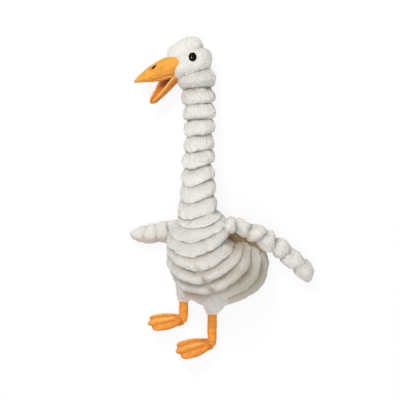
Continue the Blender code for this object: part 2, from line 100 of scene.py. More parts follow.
def smooth(values):
    """0 below 0, 1 above 1, and the cubic 3t^2 - 2t^3 between."""
    t = np.clip(values, 0.0, 1.0)
    return t * t * (3 - 2 * t)


def bump(values, centre, width):
    """exp(-((v - centre) / width)^2), a soft hill of height 1."""
    return np.exp(-((values - centre) / width) ** 2)


def full_turn(count):
    """Angles once round a circle, without its end."""
    return np.linspace(0.0, 2 * math.pi, count, endpoint=False)


def square_to(along):
    """Two directions that are square to a line and to each other."""
    side = unit(np.cross(along, [0.0, 0.0, 1.0]))
    return side, np.cross(side, along)


def circled(angle, first, second):
    """Points of a unit circle that runs from the first direction to the second."""
    return np.cos(angle)[..., None] * first + np.sin(angle)[..., None] * second


def laid(middle, distances, directions):
    """Points at given distances from a middle: one array of distances for each direction."""
    for distance, direction in zip(distances, directions):
        middle = middle + distance[..., None] * direction
    return middle


def value_noise(points, size, seed):
    """Smooth noise from -1 to 1: hashed numbers at the corners of cubes of the given size,
    blended across each cube with the cubic of smooth()."""
    scaled = np.asarray(points) / size + seed * 7.31
    cell = np.floor(scaled).astype(np.int64)
    t = smooth(scaled - cell)
    total = 0.0
    for corner in np.ndindex(2, 2, 2):
        key = cell + np.array(corner)
        hashed = key[..., 0] * 73856093 ^ key[..., 1] * 19349663 ^ key[..., 2] * 83492791
        hashed = (hashed ^ (hashed >> 13)) * 1274126177 & 0x7FFFFFFF
        number = ((hashed ^ (hashed >> 16)) & 0xFFFF) / 32767.5 - 1.0
        weight = 1.0
        for axis, side in enumerate(corner):
            weight = weight * (t[..., axis] if side else 1.0 - t[..., axis])
        total = total + number * weight
    return total


def grid_normals(grid):
    """Normals of a grid that closes around axis 1: the cross product of its two tangents,
    turned to point away from each row's middle."""
    across = np.roll(grid, -1, axis=1) - np.roll(grid, 1, axis=1)
    along = np.gradient(grid, axis=0)
    normals = unit(np.cross(across, along))
    outwards = grid - grid.mean(axis=1, keepdims=True)
    return normals * np.sign((normals * outwards).sum())


def pushed(grid, amount):
    """The grid moved out along its normals."""
    return grid + grid_normals(grid) * amount[..., None]


def piled(grid, seed, pile=PLUSH_PILE):
    """The grid pushed out by pile noise: tufts of the pile's height and size, and half-size
    tufts at half the height."""
    amount, size = pile
    height = value_noise(grid, size, seed) + 0.5 * value_noise(grid, size / 2, seed + 1)
    return pushed(grid, amount * height)


def catmull_rom(p0, p1, p2, p3, t):
    """A smooth curve from p1 to p2 that heeds the points before and after them."""
    return 0.5 * (2 * p1 + (p2 - p0) * t + (2 * p0 - 5 * p1 + 4 * p2 - p3) * t ** 2
                  + (3 * p1 - p0 - 3 * p2 + p3) * t ** 3)


def read_between(table, positions):
    """A table's rows read smoothly at fractional positions of any shape."""
    last = len(table) - 1
    index = np.clip(positions.astype(int), 0, last - 1)
    padded = np.vstack([2 * table[0] - table[1], table, 2 * table[-1] - table[-2]])
    return catmull_rom(*(padded[index + k] for k in range(4)), (positions - index)[..., None])


def read_loop(points, positions):
    """A closed loop of points read smoothly at fractional positions."""
    points = np.array(points, float)
    index = np.floor(positions).astype(int)
    return catmull_rom(*(points[(index + k) % len(points)] for k in (-1, 0, 1, 2)),
                       (positions - index)[..., None])


# Meshes.

def skin(name, grid, material, attributes=None, ring=False):
    """A closed mesh from a grid of points, which closes around its rows.

    Its first and last rows are each closed by a fan of triangles to their middle, or joined to
    each other where it's a ring. Point attributes are given as arrays of the grid's shape.
    """
    grid = np.array(grid, dtype=float)
    grid[..., 2] = np.maximum(grid[..., 2], 0.0)
    rows, around = grid.shape[:2]
    index = np.arange(rows * around).reshape(rows, around)
    points, fans = grid.reshape(-1, 3), np.zeros((0, 3), int)
    values = {key: np.broadcast_to(array, (rows, around)).ravel()
              for key, array in (attributes or {}).items()}
    if ring:
        index = np.vstack([index, index[:1]])
    else:
        first, last = index[0], index[-1]
        fans = np.vstack([
            np.stack([np.roll(first, -1), first, np.full(around, len(points))], axis=-1),
            np.stack([last, np.roll(last, -1), np.full(around, len(points) + 1)], axis=-1)])
        points = np.vstack([points, grid[0].mean(axis=0), grid[-1].mean(axis=0)])
        values = {key: np.append(array, [array[:around].mean(), array[-around:].mean()])
                  for key, array in values.items()}
    beside = np.roll(index, -1, axis=1)
    quads = np.stack([index[:-1], beside[:-1], beside[1:], index[1:]], axis=-1).reshape(-1, 4)
    return mesh_object(name, points, quads, fans, material, values)


def dyed_skin(name, grid, material, **shares):
    """A closed piece from a grid in the design's own places, with shares from 0 to 1 that its
    material reads."""
    shares = {key: np.clip(share, 0.0, 1.0) for key, share in shares.items()}
    return skin(name, grid + DESIGN_SHIFT, material, shares)


def plush_skin(name, grid, material, tuck=0.0, tan=0.0, pink=0.0):
    """A piece of plush, with shares of painted shade at each point (tuck, tan) and of pink."""
    return dyed_skin(name, grid, material, tuck=tuck, tan=tan, pink=pink)


def padded_between(upper, lower):
    """One closed ring from two sheets that share their edges: each row of the upper sheet goes
    on into the same row of the lower one, read backwards."""
    return np.concatenate([upper, lower[:, ::-1]], axis=1)


def placed(name, data, place=(0.0, 0.0, 0.0)):
    """A new object of the given data, linked to the scene."""
    made = bpy.data.objects.new(name, data)
    made.location = place
    bpy.context.scene.collection.objects.link(made)
    return made


def mesh_object(name, points, quads, triangles, material, values):
    """A mesh object at the origin from arrays, turned inside out if its volume is negative."""
    corners = np.concatenate([quads.ravel(), triangles.ravel()])
    halves = np.vstack([quads[:, :3], quads[:, [0, 2, 3]], triangles])
    a, b, c = (points[halves[:, k]] for k in range(3))
    inside_out = np.einsum("ij,ij->", a, np.cross(b, c)) < 0
    mesh = bpy.data.meshes.new(name)
    mesh.vertices.add(len(points))
    mesh.vertices.foreach_set("co", points.astype(np.float32).ravel())
    mesh.loops.add(len(corners))
    mesh.loops.foreach_set("vertex_index", corners.astype(np.int32))
    starts = np.concatenate([np.arange(len(quads)) * 4,
                             len(quads) * 4 + np.arange(len(triangles)) * 3])
    mesh.polygons.add(len(starts))
    mesh.polygons.foreach_set("loop_start", starts.astype(np.int32))
    for key, array in values.items():
        layer = mesh.attributes.new(key, "FLOAT", "POINT")
        layer.data.foreach_set("value", array.astype(np.float32))
    mesh.update(calc_edges=True)
    if inside_out:
        mesh.flip_normals()
    mesh.validate()
    mesh.shade_smooth()
    mesh.materials.append(material)
    return placed(name, mesh)


def dress(piece, slot, *nodes, fill=None):
    """Rides the piece on the toy's one body and hides the imported nodes that it stands for.
    Its slot is not used.
    """
    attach(piece, "root")
    if nodes:
        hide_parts(*nodes)
    return piece


def tree_of(piece):
    """A search tree over a piece's own mesh."""
    mesh = piece.data
    points = np.empty(len(mesh.vertices) * 3, dtype=np.float32)
    mesh.vertices.foreach_get("co", points)
    faces = [tuple(face.vertices) for face in mesh.polygons]
    return BVHTree.FromPolygons([Vector(p) for p in points.reshape(-1, 3)], faces)


# Node materials.

def set_values(node, values):
    """Sets constant values on a node's own sockets."""
    for name, value in values.items():
        node.inputs[name].default_value = value


def new_material(name, values):
    """A material whose shader has the given constant values, and its node graph."""
    material = bpy.data.materials.new(name)
    material.use_nodes = True
    graph = material.node_tree
    set_values(graph.nodes[SHADER], values)
    return material, graph


def finished(material, tone, normal):
    """The material, with a colour and a normal linked to its shader."""
    graph = material.node_tree
    graph.links.new(tone, graph.nodes[SHADER].inputs["Base Color"])
    graph.links.new(normal, graph.nodes[SHADER].inputs["Normal"])
    return material


def object_noise(graph, scale, detail=3.0, stretch=(1.0, 1.0, 1.0), turn=0.0):
    """Noise on Object coordinates, stretched and turned in the floor's plane."""
    place = graph.nodes.new("ShaderNodeTexCoord")
    mapping = graph.nodes.new("ShaderNodeMapping")
    set_values(mapping, {"Scale": stretch, "Rotation": (0.0, 0.0, math.radians(turn))})
    noise = graph.nodes.new("ShaderNodeTexNoise")
    set_values(noise, {"Scale": scale, "Detail": detail, "Roughness": 0.6})
    graph.links.new(place.outputs["Object"], mapping.inputs["Vector"])
    graph.links.new(mapping.outputs["Vector"], noise.inputs["Vector"])
    return noise.outputs["Fac"]


def ranged(graph, share, values):
    """A share mapped to a range, by the values given for the map's sockets."""
    span = graph.nodes.new("ShaderNodeMapRange")
    set_values(span, values)
    graph.links.new(share, span.inputs["Value"])
    return span.outputs["Result"]


def mixed(graph, share, first, second, low=0.0, high=1.0):
    """first where share is at low and second where it is at high. A colour given as a tuple is
    set on the socket, and one given as an output is linked."""
    mix = graph.nodes.new("ShaderNodeMix")
    mix.data_type = "RGBA"
    graph.links.new(ranged(graph, share, {"From Min": low, "From Max": high}),
                    mix.inputs["Factor"])
    for socket, colour in ((mix.inputs["A"], first), (mix.inputs["B"], second)):
        if isinstance(colour, bpy.types.NodeSocket):
            graph.links.new(colour, socket)
        else:
            socket.default_value = (*tuple(colour)[:3], 1.0)
    return mix.outputs["Result"]


def attribute(graph, name):
    """The share that the mesh stores at its points under a name."""
    node = graph.nodes.new("ShaderNodeAttribute")
    node.attribute_name = name
    return node.outputs["Fac"]


def bumped(graph, height, distance, strength, below=None):
    """A normal roughened by a height, on top of the normal below it."""
    node = graph.nodes.new("ShaderNodeBump")
    set_values(node, {"Distance": distance, "Strength": strength})
    graph.links.new(height, node.inputs["Height"])
    if below is not None:
        graph.links.new(below, node.inputs["Normal"])
    return node.outputs["Normal"]


def shade(colour, factor):
    """A colour made darker or lighter by a factor."""
    return tuple(min(1.0, channel * factor) for channel in tuple(colour)[:3])


def plush_material(colours):
    """Short cream pile: soft blotches, fine strokes of the nap, painted shade in warm grey down
    in the tucks and in warm brown by the wing's pit and flank, pink where pink is, and a fuzzy
    sheen."""
    material, graph = new_material("cream_plush_pile", {
        "Roughness": 0.95, "Specular IOR Level": 0.15, "Sheen Weight": 0.30,
        "Sheen Roughness": 0.45, "Sheen Tint": (1.0, 0.99, 0.96, 1.0)})
    blotch = object_noise(graph, 70.0)
    strokes = object_noise(graph, 500.0, 4.0, (1.0, 0.45, 1.0))
    tufts = object_noise(graph, 1300.0, 2.0)
    tone = mixed(graph, blotch, shade(colours.plush, 0.94), shade(colours.plush, 1.04), 0.3, 0.7)
    tone = mixed(graph, strokes, shade(colours.plush, 0.85), tone, 0.32, 0.52)
    # Painted shade where the tan and tuck shares are high, and pink where the pink share is.
    for name, shade_and_tint in (("tan", colours.plush_warm_shade), ("pink", colours.plush_pink),
                       ("tuck", colours.plush_shade)):
        tone = mixed(graph, attribute(graph, name), tone, shade_and_tint)
    normal = bumped(graph, strokes, 0.0026, 0.75)
    return finished(material, tone, bumped(graph, tufts, 0.0008, 0.5, normal))


def velour_material(name, colours, colour, turn, patch):
    """Orange velour: a nap brushed one way in paler and deeper strokes, painted shade in deep
    red-brown in the folds, a painted highlight in pale orange on ridges, and a warm sheen."""
    material, graph = new_material(name, {
        "Roughness": 0.85, "Specular IOR Level": 0.2, "Sheen Weight": 0.35,
        "Sheen Roughness": 0.35, "Sheen Tint": (1.0, 0.80, 0.52, 1.0)})
    patches = object_noise(graph, patch, 4.0, (1.0, 1.9, 1.0), turn)
    strokes = object_noise(graph, 520.0, 3.0, (0.35, 1.0, 1.0), turn)
    pile = object_noise(graph, 1900.0, 2.0)
    tone = mixed(graph, patches, shade(colour, 0.78), shade(colour, 1.18), 0.32, 0.68)
    tone = mixed(graph, strokes, shade(colour, 0.74), tone, 0.28, 0.50)
    # Painted highlight where the ridge share is high, and painted shade where the tuck share is.
    tone = mixed(graph, attribute(graph, "ridge"), tone, colours.orange_highlight, 0.0, 1.6)
    tone = mixed(graph, attribute(graph, "tuck"), tone, colours.orange_shade)
    normal = bumped(graph, strokes, 0.0012, 0.5)
    return finished(material, tone, bumped(graph, pile, 0.0005, 0.5, normal))


def lining_material(colours):
    """Mouth cloth: dark maroon at the corner of the mouth, warming to orange at the tip, with a
    fine woven ground."""
    material, graph = new_material("mouth_lining_cloth", {
        "Roughness": 0.9, "Specular IOR Level": 0.15, "Sheen Weight": 0.05})
    weave = object_noise(graph, 1500.0, 2.0)
    mottle = object_noise(graph, 150.0)
    tip = colours.lining_tip
    tone = mixed(graph, mottle, shade(tip, 0.82), tip, 0.35, 0.65)
    tone = mixed(graph, attribute(graph, "depth"), tone, colours.lining_deep)
    return finished(material, tone, bumped(graph, weave, 0.0005, 0.5))


def eye_material():
    """Polished black plastic with faint rub marks in its gloss."""
    material, graph = new_material("black_eye_plastic", {
        "Base Color": (0.003, 0.003, 0.003, 1.0), "Specular IOR Level": 0.045})
    rubs = object_noise(graph, 900.0, 4.0, (1.0, 0.25, 1.0), 30.0)
    gloss = ranged(graph, rubs, {"From Min": 0.35, "From Max": 0.75,
                                 "To Min": 0.04, "To Max": 0.09})
    graph.links.new(gloss, graph.nodes[SHADER].inputs["Roughness"])
    return material


def thread_material():
    """Black embroidery thread: satin strands, some a little lighter and browner than the rest."""
    material, graph = new_material("black_stitch_thread", {
        "Roughness": 0.6, "Specular IOR Level": 0.15})
    strands = object_noise(graph, 2600.0, 2.0, (0.3, 1.0, 1.0), 131.0)
    tone = mixed(graph, strands, (0.002, 0.002, 0.002), (0.012, 0.009, 0.006), 0.35, 0.7)
    return finished(material, tone, bumped(graph, strands, 0.0003, 0.6))


def hem_material(colours):
    """The turned edge of a cuff: pale pink knit cloth with close ribs."""
    material, graph = new_material("pink_hem_knit", {"Roughness": 0.92, "Sheen Weight": 0.2})
    ribs = object_noise(graph, 1400.0, 2.0, (1.0, 0.2, 1.0))
    tone = mixed(graph, ribs, shade(colours.hem, 0.86), colours.hem, 0.35, 0.6)
    return finished(material, tone, bumped(graph, ribs, 0.0005, 0.6))


# The stuffed cover.

def station(x, y, z, half_width, turn, up, up_tilt, down, down_tilt, seam, v_depth):
    """One ring of a stuffed form: its centre, half width, turn in plan, and its half depths
    above and below, each with the tilt at which it leans towards the tail or the head. seam is
    the angle of the chest seam round the ring, where the ring dips tailwards by v_depth."""
    return [x, y, z, half_width, turn, up, up_tilt, down, down_tilt, seam, v_depth]


def crease(left, right, vertex, side_height, top_height, down, down_tilt, seam_dip):
    """A station from where its tuck shows in plan: its left end, right end and V vertex."""
    left, right, vertex = (np.array(p) for p in (left, right, vertex))
    centre = (left + right) / 2
    turn = math.atan2(right[1] - left[1], right[0] - left[0])
    tailwards = np.array([math.sin(turn), -math.cos(turn)])
    half_width = np.linalg.norm(right - left) / 2
    reach = (vertex - centre) @ tailwards - seam_dip
    rise = top_height - side_height
    aside = (vertex - centre) @ np.array([math.cos(turn), math.sin(turn)]) / half_width
    seam = math.degrees(math.acos(signed_power(np.clip(aside, -1, 1), SQUARENESS / 2)))
    return station(*centre, side_height, half_width, math.degrees(turn),
                   math.hypot(reach, rise), math.degrees(math.atan2(reach, rise)),
                   down, down_tilt, seam, seam_dip)


def body_stations():
    """The body's tucks, fanning from the base of the neck to the rump on the floor."""
    return [
        crease((-.0370, -.0235), (.0415, -.0130), (-.0080, -.0375), .046, .0875, .040, 19, .0130),
        crease((-.0425, -.0395), (.0415, -.0290), (-.0050, -.0575), .046, .0975, .042, 18, .0170),
        crease((-.0415, -.0520), (.0535, -.0375), (.0045, -.0765), .046, .1010, .043, 24, .0185),
        crease((-.0385, -.0690), (.0650, -.0360), (.0135, -.0925), .044, .0960, .042, 32, .0140),
        crease((-.0345, -.0830), (.0745, -.0385), (.0250, -.1055), .040, .0800, .041, 42, .0090),
        crease((-.0235, -.0930), (.0850, -.0430), (.0400, -.1160), .033, .0530, .038, 52, .0030),
        crease((-.0120, -.0990), (.0925, -.0480), (.0540, -.1215), .022, .0250, .032, 62, .0),
        crease((-.0060, -.0960), (.0920, -.0480), (.0520, -.1175), .008, .0110, .024, 80, .0),
        station(.0360, -.0805, -.001, .0400, 24.0, .0260, 90.0, .0160, 90.0, 95.0, .0),
    ]


def neck_stations():
    """The neck's tucks, from its base to the chin: a waist between a wider base and top."""
    found = [station(.0034, -.0020, .0450, .0325, 8, .0330, 17, .0340, 14, 114.0, .0060)]
    for share in np.linspace(0.0, 1.0, NECK_ROLLS + 1):
        down = 1.0 - share
        radius = .0179 + .0025 * max(0.0, (share - .55) / .45) ** 2
        radius += .0085 * max(0.0, (.55 - share) / .55) ** 2
        height = .0250 + .0180 * smooth(1.0 - share / .70)
        tilt = 5.0 + 3.0 * down
        sway = .0030 * math.sin(math.pi * max(0.0, (share - .35) / .65))
        dip = .0060 * max(0.0, min(1.0, 2.0 * down - .5))
        found.append(station(sway, .0080 + (NECK_LENGTH - .0080) * share, float(height), radius,
                             tilt, radius, tilt + 6 * down, radius, tilt + 6 * down, 122.0, dip))
    return found


def chin_stations():
    """The chin roll's upper tuck, and two rings that close the cover inside the head."""
    top, z, deep = NECK_LENGTH, HEAD_MID_HEIGHT, HEAD_HALF_DEPTH
    return [
        station(-.0052, top + .0215, z, .0232, 16.6, deep, 4.0, deep, 4.0, 90.0, .0),
        station(-.0070, top + .0250, z, .0110, 16.6, .4 * deep, 0, .4 * deep, 0, 90.0, .0),
        station(-.0085, top + .0300, z, .0040, 16.6, .2 * deep, 0, .2 * deep, 0, 90.0, .0),
    ]


HEAD_OUTLINE = ((18.0, 213.5), (20.3, 220.5), (21.0, 229.3), (18.0, 237.2), (10.6, 242.6),
                (7.6, 248.0), (2.6, 255.0), (-7.2, 258.6), (-19.1, 255.8), (-31.0, 249.8),
                (-39.5, 243.4), (-43.8, 236.6), (-42.5, 226.0), (-40.0, 212.0), (-35.5, 199.5),
                (-22.0, 194.5), (-5.0, 197.5), (9.0, 203.0))


def groove(points, path, width):
    """1 along a path of points in plan, falling to 0 beside it as a soft hill, and fading from
    the path's start to its end."""
    found = np.zeros(points.shape[:2])
    for index in range(len(path) - 1):
        start, end = np.array(path[index]), np.array(path[index + 1])
        run = end - start
        t = np.clip(((points - start) @ run) / (run @ run), 0, 1)
        apart = np.linalg.norm(points - (start + t[..., None] * run), axis=-1)
        fade = 1.0 - (index + t) / (len(path) - 1)
        found = np.maximum(found, bump(apart, 0.0, width) * fade ** .7)
    return found


def head_grid():
    """The head as a stuffed pillow: its outline in side view swells to both sides as a
    superellipse, xy by sin(latitude)^0.86 and depth by cos(latitude)^0.94.

    It's flatter towards the beak. A tuck runs in from the notch at the back of the crown, and
    two faint ones from the cheek and the brow.
    """
    latitude = np.linspace(.02, math.pi - .02, 170)[:, None]
    positions = np.linspace(0.0, len(HEAD_OUTLINE), 260, endpoint=False)[None, :]
    outline = read_loop(HEAD_OUTLINE, positions) / 1000
    middle = np.array([-.0090, .2290])
    plan = middle + (outline - middle) * (np.sin(latitude) ** .86)[..., None]
    cosine = signed_power(np.cos(latitude), .94)
    half = (HEAD_HALF_DEPTH + .0016) * (1.0 - .23 * smooth((-.012 - plan[..., 0]) / .022))
    jowl = .0060 * bump(np.linalg.norm(plan - np.array([-.0262, .2070]), axis=-1), 0, .0080)
    z = HEAD_MID_HEIGHT + half * cosine + jowl * np.sign(cosine)
    grid = np.concatenate([plan, z[..., None]], axis=-1)
    tuck = groove(plan, ((.0120, .2455), (.0040, .2405), (-.0040, .2375), (-.0100, .2372)), .0022)
    cheek = groove(plan, ((.0230, .2165), (.0130, .2170), (.0040, .2140)), .0024)
    brow = groove(plan, ((-.0170, .2420), (-.0120, .2360), (-.0110, .2310)), .0016)
    swell = .0007 * value_noise(grid, .016, 5.0) + .0004 * value_noise(grid, .008, 6.0)
    push = swell - .0016 * tuck - .0003 * cheek - .0006 * brow
    # The second value is a share of painted shade, darkest in the tucks of crown, cheek and brow.
    return pushed(grid, push), np.clip(tuck + .15 * cheek + .2 * brow, 0, 1)


def make_head(material):
    """The head, dented round each eye with a faint ring of pile; painted shade under the chin and
    in its tucks.
    """
    grid, tuck = head_grid()
    eye = np.array([EYE_PLACE[0], NECK_LENGTH + EYE_PLACE[1]])
    apart = np.linalg.norm(grid[..., :2] - eye, axis=-1)
    side = np.sign(grid[..., 2] - HEAD_MID_HEIGHT)
    dent = .0013 * bump(apart, .0, .0080)
    dent = dent + .00022 * np.sin(apart * 3200.0) * bump(apart, .0100, .0035)
    grid[..., 2] -= side * dent
    grid = piled(grid, 9.0, (.00030, .0032))
    # Painted shade under the chin, added to the painted shade in the head's tucks.
    chin = smooth((.2055 + .30 * (grid[..., 0] + .005) - grid[..., 1]) / .004)
    return plush_skin("head_cover", grid, material, tuck * .5 + .45 * chin)


def ring_points(values, angle, squareness):
    """Points of rings given by arrays of station values, one angle each.

    A ring is the superellipse |cos|^(2/n), |sin|^(2/n). Its width runs across the body, its upper
    and lower halves lean by their own tilts, and its V dips tailwards in proportion to how near
    the chest seam is, from 0 at V_HALF_ANGLE away to v_depth on the seam.
    """
    x, y, z, half_width, turn, up, up_tilt, down, down_tilt, seam, v_depth = np.moveaxis(
        values, -1, 0)
    turn, up_tilt, down_tilt = np.radians(turn), np.radians(up_tilt), np.radians(down_tilt)
    cosine = signed_power(np.cos(angle), 2 / squareness)
    sine = signed_power(np.sin(angle), 2 / squareness)
    reach = np.where(sine > 0, up, down) * sine
    tilt = np.where(sine > 0, up_tilt, down_tilt)
    away = np.abs((np.degrees(angle) - seam + 180.0) % 360.0 - 180.0)
    dip = v_depth * np.maximum(0.0, 1.0 - away / V_HALF_ANGLE)
    tailwards = reach * np.sin(tilt) + dip * np.cos(up_tilt)
    return np.stack([x + half_width * cosine * np.cos(turn) + np.sin(turn) * tailwards,
                     y + half_width * cosine * np.sin(turn) - np.cos(turn) * tailwards,
                     z + reach * np.cos(tilt) - dip * np.sin(up_tilt)], axis=-1), away


def rolled_grid(table, tucks, around, rows, puff, room_share, roundness, seed,
                squareness=SQUARENESS, skew=0.82, wander=0.045, pucker=0.14, overhang=0.30,
                ends_tucked=True, inset=0.0016, under=0.0):
    """A grid of rings that swells into a roll between one tuck and the next.

    With s the share of the way from tuck to tuck, skewed to s^skew so that a roll is fullest near
    its tail side, the swelling follows the arch A = (1 - |2s - 1|^n)^(1/n) times the smaller of
    puff and room_share of the distance between the tucks. Tucks wander along their length and
    fade a little by noise, the first and last can be left out, and puckers cut into a roll
    beside its tucks. Returns the grid and a share of painted shade at each point, high deep in a
    tuck. On the lower body that painted shade reaches further down from each tuck, by under, as
    the painted shadow of the roll above that hangs over it, and it is painted along the nick of
    the seam.
    """
    table = np.array(table, dtype=float)
    tucks = np.array(tucks, dtype=float)
    angle = full_turn(around)
    rolls = len(tucks) - 1
    circle = np.stack([np.cos(angle), np.sin(angle)], axis=-1)

    def noise_on(count, frequency, offset):
        place = np.concatenate([np.broadcast_to(circle * frequency, (count, around, 2)),
                                np.arange(count)[:, None, None] * 3.7
                                + np.zeros((count, around, 1))], axis=-1)
        return value_noise(place, 1.0, seed + offset)

    shown = np.clip(0.93 + 0.20 * noise_on(rolls + 1, 2.2, 1.0), 0.0, 1.0)
    if not ends_tucked:
        shown[[0, -1]] = 0.0
    drift = wander * noise_on(rolls + 1, 1.6, 2.0)
    drift[0], drift[-1] = 0.0, 0.0
    places = tucks[:, None] + drift
    rings, _ = ring_points(read_between(table, np.repeat(tucks[:, None], around, axis=1)),
                           angle, squareness)
    room = np.linalg.norm(rings[1:] - rings[:-1], axis=-1)
    height = np.minimum(puff, room_share * room) * (1.0 + 0.20 * noise_on(rolls, 1.4, 3.0))
    neighbours = np.concatenate([height[:1], height, height[-1:]])
    level = (neighbours[:-1] + neighbours[1:]) / 2

    steps = 0.5 - 0.5 * np.cos(np.linspace(0.0, math.pi, rows + 1))
    share = np.tile(steps[:-1], rolls)
    share = np.concatenate([share, [1.0]])[:, None]
    roll = np.concatenate([np.repeat(np.arange(rolls), rows), [rolls - 1]])
    position = places[roll] + (places[roll + 1] - places[roll]) * share
    values = read_between(table, position)
    ring, away = ring_points(values, angle, squareness)
    skewed = share ** skew
    arch = np.maximum(0.0, 1.0 - np.abs(2 * skewed - 1) ** roundness) ** (1 / roundness)
    shown_here = np.where(skewed < 0.5, shown[roll], shown[roll + 1])
    full = level[roll] * (1.0 - skewed) + level[roll + 1] * skewed
    full = full + (height[roll] - full) * arch * shown_here
    folds = np.maximum(0.0, noise_on(rolls, 9.0, 4.0)[roll] + 0.15)
    folds = folds + 0.6 * np.maximum(0.0, noise_on(rolls, 19.0, 5.0)[roll])
    pinch = 0.40 * bump(away, 0.0, 4.5) * smooth((values[..., 10] - 0.005) / 0.005)
    rise = full * (1.0 - shown_here * (1.0 - arch)) * (1.0 - pinch * arch) - inset
    rise = rise - pucker * full * folds * 4.0 * arch * (1.0 - arch)
    outwards = unit(ring - values[..., :3])
    turn = np.radians(values[..., 4])
    tailwards = np.stack([np.sin(turn), -np.cos(turn), np.zeros_like(turn)], axis=-1)
    leant = overhang * arch * height[roll]
    grid = laid(ring, (rise, leant), (outwards, tailwards))
    # Painted shade: the tucks, the shadow under each overhanging roll, and the nick of the seam.
    overhang_shade = under * smooth((skewed - .66) / .34) * smooth(-(ring[..., 1] + .050) / .030)
    nick = 1.7 * pinch * arch * smooth(-(ring[..., 1] + .060) / .015)
    depth = np.maximum(np.maximum((1.0 - arch) ** 1.4, overhang_shade) * shown_here, nick)
    return grid, depth


def cover_grid():
    """Neck and body of the plush cover, and how deep in its tucks each point lies."""
    table = body_stations()[::-1] + neck_stations() + chin_stations()
    # The last roll takes in both closing rings.
    tucks = list(range(len(table) - 2)) + [len(table) - 1]
    return rolled_grid(table, tucks, around=300, rows=15, puff=.0086, room_share=.40,
                       roundness=1.8, seed=3.0, ends_tucked=False, inset=.0036, under=.85)


def make_cover(material):
    """The cover, swayed from side to side along the neck and made lumpy all over.

    It has painted shade: darker in its tucks, on the lower front and flank and under the chin,
    and warm brown in the pit of the left wing and low on the flank. It is pinker between the
    legs.
    """
    grid, depth = cover_grid()
    neck = smooth((grid[..., 1] - .010) / .03)
    level = grid[..., 1:2] * np.array([[[0.0, 1.0, 0.0]]])
    grid[..., 0] += .0012 * neck * value_noise(level, .019, 8.0)
    lumps = .0016 * value_noise(grid, .015, 5.0) + .0009 * value_noise(grid, .007, 6.0)
    grid = piled(pushed(grid, lumps), 9.0, (.00064, .0027))
    x, y, z = np.moveaxis(grid, -1, 0)
    out = .81 * (x - .051) - .59 * (y + .030)
    aside = .59 * (x - .051) + .81 * (y + .030)
    # Painted shade in the wing's pit, on the flank, under the chin and on the lower front.
    wing_pit_shade = bump(out, .0, .024) * bump(aside, .0, .0140) * smooth((x - .0405) / .006)
    belly = bump(x, -.004, .022) * bump(y + .28 * (x + .004), -.1115, .0075)
    low_flank_shade = smooth((.055 - z) / .05) * smooth(-(y + .02) / .03) * .30
    flank = smooth((x - .020) / .05) * smooth(-(y + .040) / .05)
    chin = bump(y, .187, .017)
    front = .18 * bump(y, -.056, .038)
    shown = .72 - .25 * bump(y, -.022, .022) + .40 * smooth(-(y + .060) / .035)
    return plush_skin("plush_cover", grid, material,
                      tuck=depth * shown + .20 * wing_pit_shade + .24 * flank + .17 * chin + front,
                      tan=wing_pit_shade + low_flank_shade + .28 * flank, pink=belly * .85)


# Wings, cuffs, legs and feet.

def limb_grid(points, widths, thicknesses, slant, rows, puff, seed):
    """A chain of lumps along a path, one between each point and the next: rings across the
    path, swelling between tucks that lie askew by slant degrees, each a different way."""
    table = []
    for index, (point, width, thickness) in enumerate(zip(points, widths, thicknesses)):
        ahead = points[min(index + 1, len(points) - 1)] - points[max(index - 1, 0)]
        turn = math.degrees(math.atan2(ahead[1], ahead[0])) + 90.0
        turn += slant * math.sin(index * 2.3 + seed)
        lean = -math.degrees(math.atan2(ahead[2], math.hypot(ahead[0], ahead[1])))
        table.append(station(*point, width / 2, turn, thickness / 2, lean, thickness / 2, lean,
                             90.0, 0.0))
    return rolled_grid(table, range(len(table)), around=144, rows=rows, puff=puff,
                       room_share=.34, roundness=2.0, seed=seed, squareness=2.0, skew=1.0,
                       wander=.12, pucker=.30, overhang=0.0)


def make_left_wing(material):
    """Seven lumps. The path runs out by 0.86 r, falls tailwards by 0.10 r + 2.8 r^2, and slides
    down to the floor as (r / length)^1.3, for a run r from 0 to the wing's length."""
    steps = np.linspace(0.0, 1.0, 8)
    run = steps * LEFT_WING_LENGTH
    points = np.stack([.0360 + .86 * run, -.0112 - .10 * run - 2.8 * run ** 2,
                       .0560 - .0425 * steps ** 1.3], axis=-1)
    widths = .0165 + .0055 * np.sin(math.pi * np.clip(steps - .1, 0, 1))
    widths[-2:] *= 1.04, .98
    thicknesses = np.full(8, .0165)
    thicknesses[-1] *= .80
    grid, depth = limb_grid(points, widths, thicknesses, slant=22.0, rows=26, puff=.0056,
                            seed=11.0)
    ends = np.minimum(1.0, np.arange(len(grid))[::-1] / 24.0)[:, None]
    grid = piled(pushed(grid, .0022 * ends * value_noise(grid, .011, 21.0)), 22.0)
    # Painted shade in the wing's creases, and warm brown painted shade near its pit.
    near_pit_shade = bump(grid[..., 0], .058, .022) * smooth((-.022 - grid[..., 1]) / .008)
    return plush_skin("wing_left_lumps", grid, material, depth * .50, near_pit_shade * .55)


def make_gusset(material):
    """The gathered cloth in the pit of the left wing: a flattened oval pad with fine pleats."""
    latitude, angle = np.linspace(.03, math.pi - .03, 80)[:, None], full_turn(120)[None, :]
    turn = math.radians(-27.0)
    along = np.array([math.cos(turn), math.sin(turn), 0.0])
    aside = np.array([-along[1], along[0], 0.0])
    u = .0330 * np.sin(latitude) * np.cos(angle)
    v = .0125 * np.sin(latitude) * np.sin(angle)
    height = .0160 * np.cos(latitude) + .0006 * np.sin(u / .0011 + v / .004) * np.sin(latitude)
    grid = laid(np.array([.0680, -.0385, .0250]), (u, v, height), (along, aside, UPWARDS))
    # The whole pad takes the warm brown painted shade of the wing's pit.
    return plush_skin("wing_gusset", piled(grid, 71.0), material, tan=1.0)


